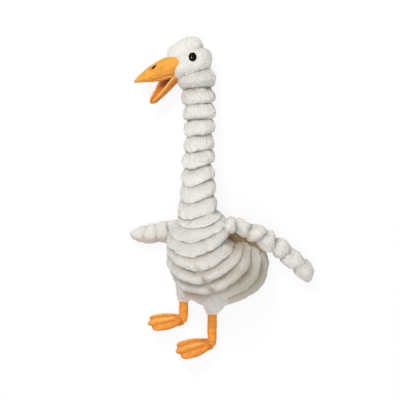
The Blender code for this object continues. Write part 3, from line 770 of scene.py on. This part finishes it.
def make_right_wing(material):
    """Four softer lumps that leave the shoulder behind the body and lie along the floor."""
    steps = np.linspace(0.0, 1.0, 5)
    run = steps * RIGHT_WING_LENGTH
    points = np.stack([-.0220 - run, -.0210 - .10 * run,
                       np.maximum(.0230 - 1.08 * run, .0125)], axis=-1)
    widths = .0325 * (1.0 - .52 * steps ** 1.8)
    widths[-1] *= .55
    thicknesses = np.full(5, .0190)
    thicknesses[-1] *= .60
    grid, depth = limb_grid(points, widths, thicknesses, slant=16.0, rows=30, puff=.0032,
                            seed=17.0)
    grid = piled(pushed(grid, .0020 * value_noise(grid, .012, 31.0)), 32.0)
    # Painted shade in the creases, and a pink painted shade on the wing's lower side.
    return plush_skin("wing_right_lumps", grid, material, depth * .35,
                      pink=smooth((-.024 - grid[..., 1]) / .012) * .40)


def make_cuff(name, hem, rise, girth, seed, material):
    """A plush cuff: a soft cone from the belly to its hem, with three slack folds round it."""
    hem = np.array(hem)
    root = hem + np.array([.004 + .030 * (1 - girth), .030, rise])
    radii = np.array([.0188 * girth, .0196 * girth, .0190 * girth, .0166 * girth, .0130, .0086])
    share, angle = np.linspace(0.0, 1.0, 90)[:, None], full_turn(128)[None, :]
    radius = read_between(radii[:, None], share * (len(radii) - 1))
    grid = (root + share * (hem - root))[:, None] + radius * circled(
        angle, *square_to(unit(hem - root)))
    folds = np.sin(share * 21.0 + 0.9 * np.sin(angle + seed) + seed)
    folds = folds * smooth(share * 4) * (1 - share)
    grid = pushed(grid, .0007 * folds + .0018 * value_noise(grid, .011, seed))
    # Painted shade in the hollows of the folds; pinker towards the belly.
    return plush_skin(name, piled(grid, seed + 3.0), material, np.clip(-folds, 0, 1) * .06,
                      pink=smooth(.8 - share * 1.6) * .12)


def make_hem(name, hem, ankle, material):
    """The cuff's turned edge: a thin round binding round the leg."""
    hem, ankle = np.array(hem, float), np.array(ankle, float)
    along = unit(ankle - hem)
    angle, tube_angle = full_turn(96)[:, None], full_turn(24)[None, :]
    radius = .0081 + .0016 * np.cos(tube_angle) + .0002 * np.sin(angle * 7.0)
    lift = .0026 * np.sin(tube_angle) + .0004 * np.sin(angle * 3.0)
    circle = circled(angle, *square_to(along))
    grid = hem + along * .0022 + circle * radius[..., None] + along * lift[..., None]
    return skin(name, grid + DESIGN_SHIFT, material, ring=True)


def toe_direction(turn):
    """The way that a foot points: towards -X, a little upwards and turned tailwards."""
    return unit(np.array([-math.cos(turn), -math.sin(turn), .08]))


def make_leg(name, hem, ankle, turn, seed, material):
    """A stuffed velour tube with a seam down its inner side, and slack rings at the bend.

    Its path is straight down from the hem and then a quarter circle into the foot, so that the
    heel is round. The radius narrows a little towards the ankle.
    """
    hem, ankle = np.array(hem, float), np.array(ankle, float)
    along = unit(ankle - hem)
    toewards = toe_direction(math.radians(turn))
    toewards = unit(toewards - (toewards @ along) * along * .75)
    start, corner = hem - along * .004, ankle - along * (HEEL_CURVE - .0035)
    straight = np.linalg.norm(corner - start)
    share, angle = np.linspace(0.0, 1.0, 130)[:, None], full_turn(96)[None, :]
    run = share * (straight + HEEL_CURVE * math.pi / 2)
    bend = np.clip((run - straight) / HEEL_CURVE, 0.0, math.pi / 2)
    centre = (start + along * np.minimum(run, straight) + along * HEEL_CURVE * np.sin(bend)
              + toewards * HEEL_CURVE * (1 - np.cos(bend)))
    ahead = along * np.cos(bend) + toewards * np.sin(bend)
    side = unit(np.cross(along, toewards)) * np.ones_like(ahead)
    radius = LEG_RADIUS - .0005 * smooth(share * 1.4 - .2) + .0004 * bump(share, .5, .3)
    circle = circled(angle, side[:, None], np.cross(side, ahead)[:, None])
    grid = centre[:, None] + radius[..., None] * circle
    seam = bump(np.sin(angle), -1.0, .10) * np.ones_like(share)
    slack = bump(share, .84, .11) * np.sin(share * 62.0 + 2.4 * np.sin(angle + seed))
    grid = pushed(grid, -.0005 * seam + .00045 * slack + .0005 * value_noise(grid, .009, seed))
    # Painted shade along the seam, in the slack folds, under the cuff and at the heel; a painted
    # highlight on the crests of the folds.
    tuck = (seam * .4 + np.clip(-slack, 0, 1) * .16 + .4 * smooth((.10 - share) / .05)
            + .42 * smooth((share - .80) / .16))
    return dyed_skin(name, piled(grid, seed + 2.0, VELOUR_PILE), material, tuck=tuck,
                     ridge=np.clip(slack, 0, 1) * .25)


def make_foot(name, ankle, turn, length, half_width, seed, material):
    """A quilted webbed foot on a grid of length s and width t.

    Three toes follow the wave w = (1 + cos 3 pi t) / 2, with the far toe drawn narrower. It sets
    how far each strip of the foot reaches and how high it is padded. The pad's height is
    sqrt(1 - |t|^3) across it, rounds off at the toes as sqrt(1 - s^6), and is creased where the
    foot bends up into the leg.
    """
    turn, tilt = math.radians(turn), math.radians(53.0)
    toewards = toe_direction(turn)
    across = unit(np.array([math.sin(turn) * math.cos(tilt), -math.cos(turn) * math.cos(tilt),
                            math.sin(tilt)]))
    normal = np.cross(toewards, across)
    s = (1 - np.cos(np.linspace(0.0, math.pi, 110)))[:, None] / 2
    t = np.sin(np.linspace(-math.pi / 2, math.pi / 2, 90))[None, :]
    toe = t + .35 * (1.0 - t ** 2) * np.clip(-t, 0, 1)
    wave = .5 + .5 * np.cos(toe * 3.0 * math.pi)
    reach = length * (.93 + .05 * wave ** .8 - .09 * t ** 2 - .075 * smooth(t * 2.2))
    half = half_width * (.42 + .58 * np.sin(math.pi / 2 * np.minimum(1.0, s / .72)) ** 1.3)
    edge = np.sqrt(np.clip(1.0 - np.abs(t) ** 3.0, 0.0, 1.0))
    tip = np.sqrt(np.clip(1.0 - s ** 6, 0.0, 1.0)) * np.minimum(1.0, .45 + s * 4)
    between = smooth((s - .12) / .25)
    ridge = 1.0 - (.27 * (1.0 - wave ** .8)) * between
    fold = .6 * sum(bump(s + slope * t, place, .017) for place, slope in
                    ((.15, .10), (.23, .16), (.33, -.12)))
    quilt = .00035 * np.sin(s * 50.0 + 2.0 * np.sin(t * 6.0)) * bump(s, .5, .35)
    lift = .0062 * edge * tip * ridge
    start = .0070 * t ** 2 * (1.0 - s) ** 3 - .004
    base = laid(ankle, (s * reach + start, t * half), (toewards, across))
    wrinkle = (quilt - .0014 * fold) * edge * tip
    upper = base + (lift + wrinkle)[..., None] * normal
    lower = base - (lift * .75)[..., None] * normal
    grain = .00022 * value_noise(upper, .0040, seed) + .0001 * value_noise(upper, .0018, seed + 1)
    upper = upper + (grain * edge * tip)[..., None] * normal
    # Painted shade in the grooves and folds, at the toe tips, by the heel and on the lower toe; a
    # painted highlight on the ridges of the upper toes.
    groove_share = (1.0 - wave ** .7) * between
    tuck = (.40 * groove_share ** 2 + .50 * fold + .4 * smooth((s - .965) / .03)
            + .34 * smooth((.36 - s) / .30) + .14 * smooth((t - .15) / .5) * tip)
    pale = wave ** 2 * between * bump(s, .55, .35) * (1.1 - .7 * smooth(t * 2.0))
    return dyed_skin(name, padded_between(upper, lower), material,
                     tuck=padded_between(tuck, tuck), ridge=padded_between(pale, pale))


# The beak, eyes and nostrils.

def on_head(place):
    """A place in plan from the top of the neck, at the middle of the head's depth."""
    return np.array([place[0], NECK_LENGTH + place[1], HEAD_MID_HEIGHT])


def landing(tree, place, side):
    """Where a plumb line through a place on the head meets a piece, from the side given by a
    sign, and the piece's normal there."""
    x, y, _ = on_head(place) + DESIGN_SHIFT
    hit = tree.ray_cast(Vector((x, y, side * 1.0)), Vector((0, 0, -side)))
    return np.array(hit[0]), np.array(hit[1])


def upper_beak_grid(around=160, rows=120):
    """The upper beak: a deep oval at the face, tapering as 1 - r^1.9 for a run r to its tip.

    Its underside is flatter than its top. A seam runs down its ridge, and a rolled lip with a
    groove above it runs along each side.
    """
    lead = math.radians(200.6)
    along = np.array([math.cos(lead), math.sin(lead), 0.0])
    over = np.array([along[1], -along[0], 0.0])
    share = np.linspace(-.22, 1.0, rows)
    share = np.where(share > 0, np.sin(np.clip(share, 0, 1) * math.pi / 2) ** 1.15, share)
    share = share[:, None]
    run = np.clip(share, 0.0, 1.0)
    taper = 1.0 - run ** 1.9
    tall = (.0305 * taper + .0020) / 1.8
    width = .0178 * taper + .0012
    arch = .0020 * np.sin(math.pi * run) - tall * .10
    angle = full_turn(around)[None, :]
    square = 1.0 - .20 * smooth(1.0 - run * 2.0)
    sine, cosine = signed_power(np.sin(angle), square), signed_power(np.cos(angle), square)
    sine = np.where(sine < 0, sine * .80, sine)
    centre = laid(on_head(UPPER_BEAK_ROOT), (UPPER_BEAK_LENGTH * share, arch), (along, over))
    grid = laid(centre, (sine * tall, cosine * width), (over, UPWARDS))
    degrees = np.degrees(angle)
    drop = 50.0 * np.minimum(run, .8) + 26.0 * smooth((.20 - run) / .20)

    def stripes(apart, width):
        """A soft stripe along each side, apart degrees round from the middle of the underside."""
        found = (bump(degrees, 270.0 + apart - drop, width)
                 + bump(degrees, 270.0 - apart + drop, width))
        return found * smooth((.86 - run) / .3)

    return grid, stripes(58.0, 4.5), stripes(47.0, 8.0), bump(degrees, 90.0, 4.0), run


def make_upper_beak(material):
    """The upper beak, with painted shade in its groove, on its ridge seam, at its tip and under
    it near the face, and a painted highlight on its rolled lips.
    """
    grid, groove_share, roll, ridge_seam, run = upper_beak_grid()
    push = -.0009 * groove_share + .0008 * roll - .0007 * ridge_seam * smooth((1 - run) * 12)
    push = push + .0006 * value_noise(grid, .013, 41.0) * smooth((1 - run) * 4)
    grid = piled(pushed(grid, push), 43.0, VELOUR_PILE)
    # Painted shade (tuck) and a painted highlight on the rolled lips (ridge).
    below = smooth(.5 - np.sin(full_turn(grid.shape[1])))
    tuck = (.60 * groove_share + .5 * ridge_seam + .35 * bump(run, 1.0, .03)
            + .30 * below * smooth((.34 - run) / .34))
    return dyed_skin("upper_beak_velour", grid, material, tuck=tuck, ridge=roll * .8)


def lower_beak_frame(share):
    """The line down the lower beak at each share of its length, and the two directions across
    it: from side to side, and towards the upper beak."""
    lead, lean = math.radians(235.0), math.radians(36.0)
    along = np.array([math.cos(lead), math.sin(lead), 0.0])
    inner = np.array([along[1], -along[0], 0.0])
    inner = inner * math.cos(lean) + np.array([0, 0, math.sin(lean)])
    line = laid(on_head(LOWER_BEAK_ROOT), (LOWER_BEAK_LENGTH * share,), (along,))
    return line, (np.cross(along, inner), inner)


def scoop_width(share):
    """How wide the scoop is along its length, as a share: it shrinks by 0.72 r^1.9."""
    return .28 + .72 * (1.0 - np.clip(share, 0, 1) ** 1.9)


def scoop_depth(share):
    """How deep the scoop is along its length, as a share: it shrinks by 0.66 r^1.2."""
    return 1.0 - .66 * np.clip(share, 0, 1) ** 1.2


def make_lower_beak(material):
    """The lower beak: a padded scoop. Its section is a half ellipse that opens towards the upper
    beak, thickened by a wall with round rims, and it closes to a blunt tip."""
    share = np.concatenate([np.linspace(-.14, .92, 80), .92 + .08 * np.sin(
        np.linspace(0, math.pi / 2, 14))[1:]])[:, None]
    close = np.sqrt(np.clip(1 - np.clip((share - .86) / .14, 0, 1) ** 2, .02, 1))
    size = scoop_width(share) * close
    wall = BEAK_WALL * np.minimum(1.0, size * 2.2)
    sweep = np.linspace(0.0, math.pi, 60)[None, :]
    rim = np.linspace(0.0, math.pi, 14)[None, 1:-1]
    half_width = LOWER_BEAK_HALF_WIDTH * size
    depth = LOWER_BEAK_DEPTH * scoop_depth(share) * close
    middle_u, middle_v = np.cos(sweep) * half_width, -np.sin(sweep) * depth
    out_u, out_v = np.cos(sweep), -np.sin(sweep)
    rim_v = wall * np.sin(rim) * 1.2
    u = np.concatenate([middle_u + out_u * wall, -half_width - wall * np.cos(rim),
                        (middle_u - out_u * wall)[:, ::-1], half_width - wall * np.cos(rim)],
                       axis=1)
    v = np.concatenate([middle_v + out_v * wall, rim_v, (middle_v - out_v * wall)[:, ::-1],
                        rim_v], axis=1)
    line, directions = lower_beak_frame(share)
    grid = laid(line, (u, v), directions)
    grid = pushed(grid, .0003 * value_noise(grid, .008, 51.0))
    # Round a section, columns 0 to 59 are its outside, 60 to 71 one rim, 72 to 131 its inside
    # and 132 to 143 the other rim.
    columns = np.arange(u.shape[1])[None, :]
    # Painted highlight on the rims; painted shade inside the trough, at the tip, on the outer
    # panel and a little all over.
    on_rim = bump(columns, 66.0, 7.0) + bump(columns, 138.0, 7.0) + bump(columns, 0.0, 3.0)
    inside = smooth((columns - 72) / 6.0) * smooth((132 - columns) / 6.0)
    outside = smooth((62 - columns) / 8.0)
    tuck = (inside * (1.0 - .75 * np.clip(share, 0, 1)) + .3 * bump(share, 1.0, .05)
            + .38 * outside + .10)
    return dyed_skin("lower_beak_velour", grid, material, tuck=tuck, ridge=on_rim)


def make_lining(material):
    """The mouth's lining: a thin pad that lies in the trough of the lower beak, from the corner
    of the mouth to near its tip."""
    share = np.linspace(.0, .90, 90)[:, None]
    sweep = np.linspace(.10, math.pi - .10, 60)[None, :]
    edge = np.sqrt(np.clip(1.0 - np.abs(np.cos(sweep) / math.cos(.10)) ** 6, 0, 1))
    line, directions = lower_beak_frame(share)

    def sheet(shrink):
        """The trough's surface, drawn in from the scoop's middle line by shrink."""
        u = np.cos(sweep) * (LOWER_BEAK_HALF_WIDTH * scoop_width(share) - shrink)
        v = -np.sin(sweep) * (LOWER_BEAK_DEPTH * scoop_depth(share) - shrink)
        return laid(line, (u, v), directions)

    lower = sheet(BEAK_WALL + .0003)
    upper = sheet(BEAK_WALL + .0003 + .0009 * edge)
    depth = 1.05 - 2.5 * share + .15 * np.sin(sweep)
    return dyed_skin("mouth_lining_cloth", padded_between(upper, lower), material,
                     depth=padded_between(depth, depth))


def make_face_trim(cover, material):
    """The plush edge round the beak: a fuzzy cord along the line where the beak leaves the face.

    Each of the beak's lines is followed from its tip to where it meets the face, and the cord
    is a ring of small ovals about those places.
    """
    grid = upper_beak_grid(96, 160)[0] + DESIGN_SHIFT
    tree = tree_of(cover)
    path = []
    for column in range(grid.shape[1]):
        place = Vector(grid[20, column])
        for row in range(len(grid) - 1, 0, -1):
            start, end = Vector(grid[row, column]), Vector(grid[row - 1, column])
            hit = tree.ray_cast(start, (end - start).normalized(), (end - start).length)
            if hit[0] is not None:
                place = hit[0]
                break
        path.append(np.array(place))
    path = np.array(path)
    for _ in range(3):
        path = (np.roll(path, 1, axis=0) + 2 * path + np.roll(path, -1, axis=0)) / 4
    steps = np.linspace(0, len(path), 240, endpoint=False)
    index = steps.astype(int)
    path = path[index] + (path[(index + 1) % len(path)] - path[index]) * (steps - index)[:, None]
    ahead = unit(np.roll(path, -1, axis=0) - np.roll(path, 1, axis=0))
    first = unit(path - path.mean(axis=0))
    first = unit(first - (first * ahead).sum(axis=1, keepdims=True) * ahead)
    second = np.cross(ahead, first)
    circle = circled(full_turn(40)[None, :], first[:, None] * .0013, second[:, None] * .0024)
    fullness = 1.0 + .35 * value_noise(path[:, None] * np.ones((1, 40, 1)), .004, 61.0)
    circle = circle * fullness[..., None]
    ring = path[:, None, :] + circle
    ring = ring + unit(circle) * (.0005 * value_noise(ring, .0016, 62.0))[..., None]
    return skin("face_trim_plush", ring, material, {"tuck": .0, "tan": .0, "pink": .0}, ring=True)


def make_eye(name, place, side, cover_tree, material):
    """A domed button with a rolled edge: height (1 - r^2.2)^0.5 in the middle, falling to a rim
    that sits in the pile."""
    surface, normal = landing(cover_tree, place, side)
    normal = unit(normal * np.array([.35, .35, 1.0]))
    first = unit(np.cross(normal, [0.0, 1.0, 0.0]))
    second = np.cross(normal, first)
    latitude, angle = np.linspace(.03, math.pi - .03, 60)[:, None], full_turn(96)[None, :]
    radius = EYE_RADIUS * np.sin(latitude) ** .9
    height = np.where(latitude < math.pi / 2, .0029, .0026) * np.cos(latitude)
    return skin(name, laid(surface + normal * .0006, (
        radius * np.cos(angle), radius * np.sin(angle) * 1.14, height),
        (first, second, normal)), material)


def make_nostril(name, place, side, beak_tree, material):
    """A satin-stitched oval: a low dome, scored across by close threads."""
    surface, normal = landing(beak_tree, place, side)
    normal = unit(normal)
    turn = math.radians(41.0)
    first = np.array([math.cos(turn), math.sin(turn), 0.0])
    first = unit(first - (first @ normal) * normal)
    second = np.cross(normal, first)
    latitude, angle = np.linspace(.05, math.pi - .05, 50)[:, None], full_turn(120)[None, :]
    u = .0044 * np.sin(latitude) * np.cos(angle)
    v = .0021 * np.sin(latitude) * np.sin(angle)
    threads = .00007 * np.sin(u * 2 * math.pi / .00055) * np.sin(latitude)
    height = .0008 * np.cos(latitude) + threads * (latitude < math.pi / 2)
    return skin(name, laid(surface, (u, v, height), (first, second, normal)), material)


# Places and colours that a user would change.

class PlushDuckColours(bpy.types.PropertyGroup):
    """Colours of the toy's cloth, and of the shade and highlights painted on it."""

    def colour(label, words, default):
        return bpy.props.FloatVectorProperty(name=label, description=words, subtype="COLOR",
                                             size=3, min=0.0, max=1.0, default=default)

    plush: colour("Plush", "Cream pile of the body, neck, wings and head", (.765, .745, .700))
    # Painted shade: the grey that the plush takes in its tucks, under the chin and low on the
    # body.
    plush_shade: colour("Plush tucks", "Pile down in the tucks", (.33, .28, .21))
    # Painted shade: the warm brown of the shade in the wing's pit, on its gusset and on the
    # flank.
    plush_warm_shade: colour("Plush tan", "Pile in the pit of the wing", (.52, .37, .20))
    # Pink between the legs and at the roots of the cuffs, and a pink painted shade on the right
    # wing's lower side.
    plush_pink: colour("Plush pink", "Rubbed pile between the legs", (.58, .43, .33))
    orange: colour("Orange", "Velour of the beak", (.80, .335, .036))
    leg_orange: colour("Leg orange", "Velour of the legs and feet", (.86, .30, .028))
    # Painted shade in the velour's folds, seams, grooves and recesses.
    orange_shade: colour("Orange tucks", "Velour in folds and seams", (.42, .10, .012))
    # Painted highlight on the velour's ridges, rims, lips and upper toes.
    orange_highlight: colour("Orange ridges", "Velour brushed pale on ridges", (.90, .56, .16))
    lining_deep: colour("Mouth, deep", "Lining at the corner of the mouth", (.26, .008, .002))
    lining_tip: colour("Mouth, tip", "Lining near the beak's tip", (.74, .24, .035))
    hem: colour("Hem", "Turned edge of each cuff", (1.0, .80, .70))


def shared_material(name, make):
    """The material of that name, made first if there is none."""
    return bpy.data.materials.get(name) or make()


def plush_of(colours):
    """The cream pile that the cover, wings, cuffs and trim share."""
    return shared_material("cream_plush_pile", lambda: plush_material(colours))


class PLUSHDUCK_OT_cover(bpy.types.Operator):
    """Make the stuffed cover of neck and body, the head, and the trim round the beak"""
    bl_idname = "plushduck.cover"
    bl_label = "Cover"

    def execute(self, context):
        colours = context.scene.plush_duck_colours
        dress(make_cover(plush_of(colours)), "cream_plush", "plush_body", fill=0.85)
        head = make_head(plush_of(colours))
        dress(head, "cream_plush", "plush_body", fill=0.85)
        dress(make_face_trim(head, plush_of(colours)), "cream_plush")
        return {"FINISHED"}


class PLUSHDUCK_OT_wings(bpy.types.Operator):
    """Make both wings as chains of stuffed lumps, and the gathered cloth in the wing's pit"""
    bl_idname = "plushduck.wings"
    bl_label = "Wings"

    def execute(self, context):
        material = plush_of(context.scene.plush_duck_colours)
        dress(make_left_wing(material), "cream_plush", "wing_left", fill=0.8)
        dress(make_right_wing(material), "cream_plush", "wing_right", fill=0.8)
        dress(make_gusset(material), "cream_plush", fill=0.7)
        return {"FINISHED"}


class PLUSHDUCK_OT_legs(bpy.types.Operator):
    """Make the plush cuffs, their hems, the legs and the webbed feet"""
    bl_idname = "plushduck.legs"
    bl_label = "Legs and feet"

    def execute(self, context):
        colours = context.scene.plush_duck_colours
        plush = plush_of(colours)
        leg_velour = velour_material("orange_velour_legs", colours, colours.leg_orange,
                                     turn=90.0, patch=90.0)
        foot_velour = velour_material("orange_velour_feet", colours, colours.leg_orange,
                                      turn=8.0, patch=150.0)
        hem_cloth = hem_material(colours)
        for side, hem, ankle, rise, girth, turn, length, half_width, seed in (
                ("left", LEFT_HEM, LEFT_ANKLE, .036, 1.0, 13.0, .0600, .0192, 2.0),
                ("right", RIGHT_HEM, RIGHT_ANKLE, .028, .86, 7.0, .0582, .0172, 4.0)):
            dress(make_cuff(f"cuff_{side}", hem, rise, girth, seed, plush), "cream_plush",
                  f"thigh_{side}", fill=0.7)
            dress(make_hem(f"hem_{side}", hem, ankle, hem_cloth), "cream_plush")
            dress(make_leg(f"leg_{side}_velour", hem, ankle, turn, seed, leg_velour),
                  "orange_velour", f"leg_{side}", fill=0.8)
            dress(make_foot(f"foot_{side}_webbed", np.array(ankle), turn, length, half_width,
                            seed, foot_velour), "orange_velour", f"foot_{side}", fill=0.6)
        return {"FINISHED"}


class PLUSHDUCK_OT_beak(bpy.types.Operator):
    """Make the upper and lower beak, the mouth's lining and the stitched nostrils"""
    bl_idname = "plushduck.beak"
    bl_label = "Beak"

    def execute(self, context):
        colours = context.scene.plush_duck_colours
        velour = velour_material("orange_velour_beak", colours, colours.orange,
                                 turn=20.0, patch=70.0)
        upper = make_upper_beak(velour)
        dress(upper, "orange_velour", "beak_upper", fill=0.8)
        dress(make_lower_beak(velour), "orange_velour", "beak_lower", fill=0.7)
        dress(make_lining(lining_material(colours)), "mouth_lining", "mouth_lining", fill=0.5)
        tree, thread = tree_of(upper), thread_material()
        for name, side in (("nostril_left", 1), ("nostril_right", -1)):
            dress(make_nostril(name + "_stitched", NOSTRIL_PLACE, side, tree, thread),
                  "black_thread", name)
        return {"FINISHED"}


class PLUSHDUCK_OT_eyes(bpy.types.Operator):
    """Make the two domed eyes, set in the pile of the head"""
    bl_idname = "plushduck.eyes"
    bl_label = "Eyes"

    def execute(self, context):
        tree, plastic = tree_of(bpy.data.objects["head_cover"]), eye_material()
        for name, side in (("eye_left", 1), ("eye_right", -1)):
            dress(make_eye(name + "_button", EYE_PLACE, side, tree, plastic),
                  "black_plastic", name)
        return {"FINISHED"}


def area_light(name, place, target, size, power):
    """A square light that points from its place at a target."""
    light = bpy.data.lights.new(name, "AREA")
    light.size = size
    light.energy = power
    lamp = placed(name, light, place)
    lamp.rotation_euler = (Vector(target) - Vector(place)).to_track_quat("-Z", "Y").to_euler()
    return lamp


def seen_directly(graph):
    """1 for a ray from the camera, off a glossy surface or through a clear one, and 0 for the
    rest, which carry light to the toy."""
    rays = graph.nodes.new("ShaderNodeLightPath")
    found = rays.outputs["Is Camera Ray"]
    for name in ("Is Glossy Ray", "Is Transmission Ray"):
        larger = graph.nodes.new("ShaderNodeMath")
        larger.operation = "MAXIMUM"
        graph.links.new(found, larger.inputs[0])
        graph.links.new(rays.outputs[name], larger.inputs[1])
        found = larger.outputs[0]
    return found


def make_floor():
    """The pale floor, which shows the toy's shadow faintly on white."""
    material, graph = new_material("pale_floor", {
        "Base Color": (.86, .86, .85, 1.0), "Roughness": .9})
    glow = graph.nodes.new("ShaderNodeEmission")
    set_values(glow, {"Color": (1.0, 1.0, 1.0, 1.0), "Strength": 1.0})
    mix = graph.nodes.new("ShaderNodeMixShader")
    graph.links.new(ranged(graph, seen_directly(graph), {"To Max": FLOOR_GLOW}),
                    mix.inputs["Fac"])
    graph.links.new(graph.nodes[SHADER].outputs["BSDF"], mix.inputs[1])
    graph.links.new(glow.outputs["Emission"], mix.inputs[2])
    graph.links.new(mix.outputs["Shader"], graph.nodes["Material Output"].inputs["Surface"])
    mesh = bpy.data.meshes.new("floor")
    mesh.from_pydata([(x * FLOOR_REACH, y * FLOOR_REACH, 0)
                      for x, y in ((-1, -1), (1, -1), (1, 1), (-1, 1))], [], [(0, 1, 2, 3)])
    mesh.materials.append(material)
    floor = placed("floor", mesh)


def make_world():
    """A white studio to look at, which lights the toy less than it shows."""
    world = bpy.data.worlds.new("studio")
    world.use_nodes = True
    graph = world.node_tree
    background = graph.nodes["Background"]
    set_values(background, {"Color": (1, 1, 1, 1)})
    strength = ranged(graph, seen_directly(graph), {"To Min": WORLD_LIGHT, "To Max": 1.0})
    graph.links.new(strength, background.inputs["Strength"])
    return world


class PLUSHDUCK_OT_stage(bpy.types.Operator):
    """Make the pale floor, the soft studio lights and the camera that looks straight down"""
    bl_idname = "plushduck.stage"
    bl_label = "Stage"

    def execute(self, context):
        make_floor()
        context.scene.world = make_world()
        for light in LIGHTS:
            area_light(*light)
        bpy.data.objects["glint"].visible_diffuse = False
        camera = bpy.data.cameras.new("camera")
        camera.lens = CAMERA_LENS
        camera.sensor_width = 36.0
        context.scene.camera = placed("camera", camera, CAMERA_PLACE + DESIGN_SHIFT)
        context.scene.view_settings.view_transform = "Standard"
        return {"FINISHED"}


class PLUSHDUCK_PT_panel(bpy.types.Panel):
    """Lists the toy's colours and its pieces"""
    bl_idname = "PLUSHDUCK_PT_panel"
    bl_label = "Plush Duck"
    bl_space_type = "VIEW_3D"
    bl_region_type = "UI"
    bl_category = "Plush Duck"

    def draw(self, context):
        colours = context.scene.plush_duck_colours
        for name in PlushDuckColours.__annotations__:
            self.layout.prop(colours, name)
        for operator in OPERATORS:
            self.layout.operator(operator.bl_idname)


OPERATORS = (PLUSHDUCK_OT_stage, PLUSHDUCK_OT_cover, PLUSHDUCK_OT_wings, PLUSHDUCK_OT_legs,
             PLUSHDUCK_OT_beak, PLUSHDUCK_OT_eyes)
CLASSES = (PlushDuckColours,) + OPERATORS + (PLUSHDUCK_PT_panel,)


def register():
    for each in CLASSES:
        bpy.utils.register_class(each)
    bpy.types.Scene.plush_duck_colours = bpy.props.PointerProperty(type=PlushDuckColours)


def unregister():
    del bpy.types.Scene.plush_duck_colours
    for each in reversed(CLASSES):
        bpy.utils.unregister_class(each)


def main():
    register()
    for step in (bpy.ops.plushduck.stage, bpy.ops.plushduck.cover, bpy.ops.plushduck.wings,
                 bpy.ops.plushduck.legs, bpy.ops.plushduck.beak, bpy.ops.plushduck.eyes):
        step()


if __name__ == "__main__":
    main()
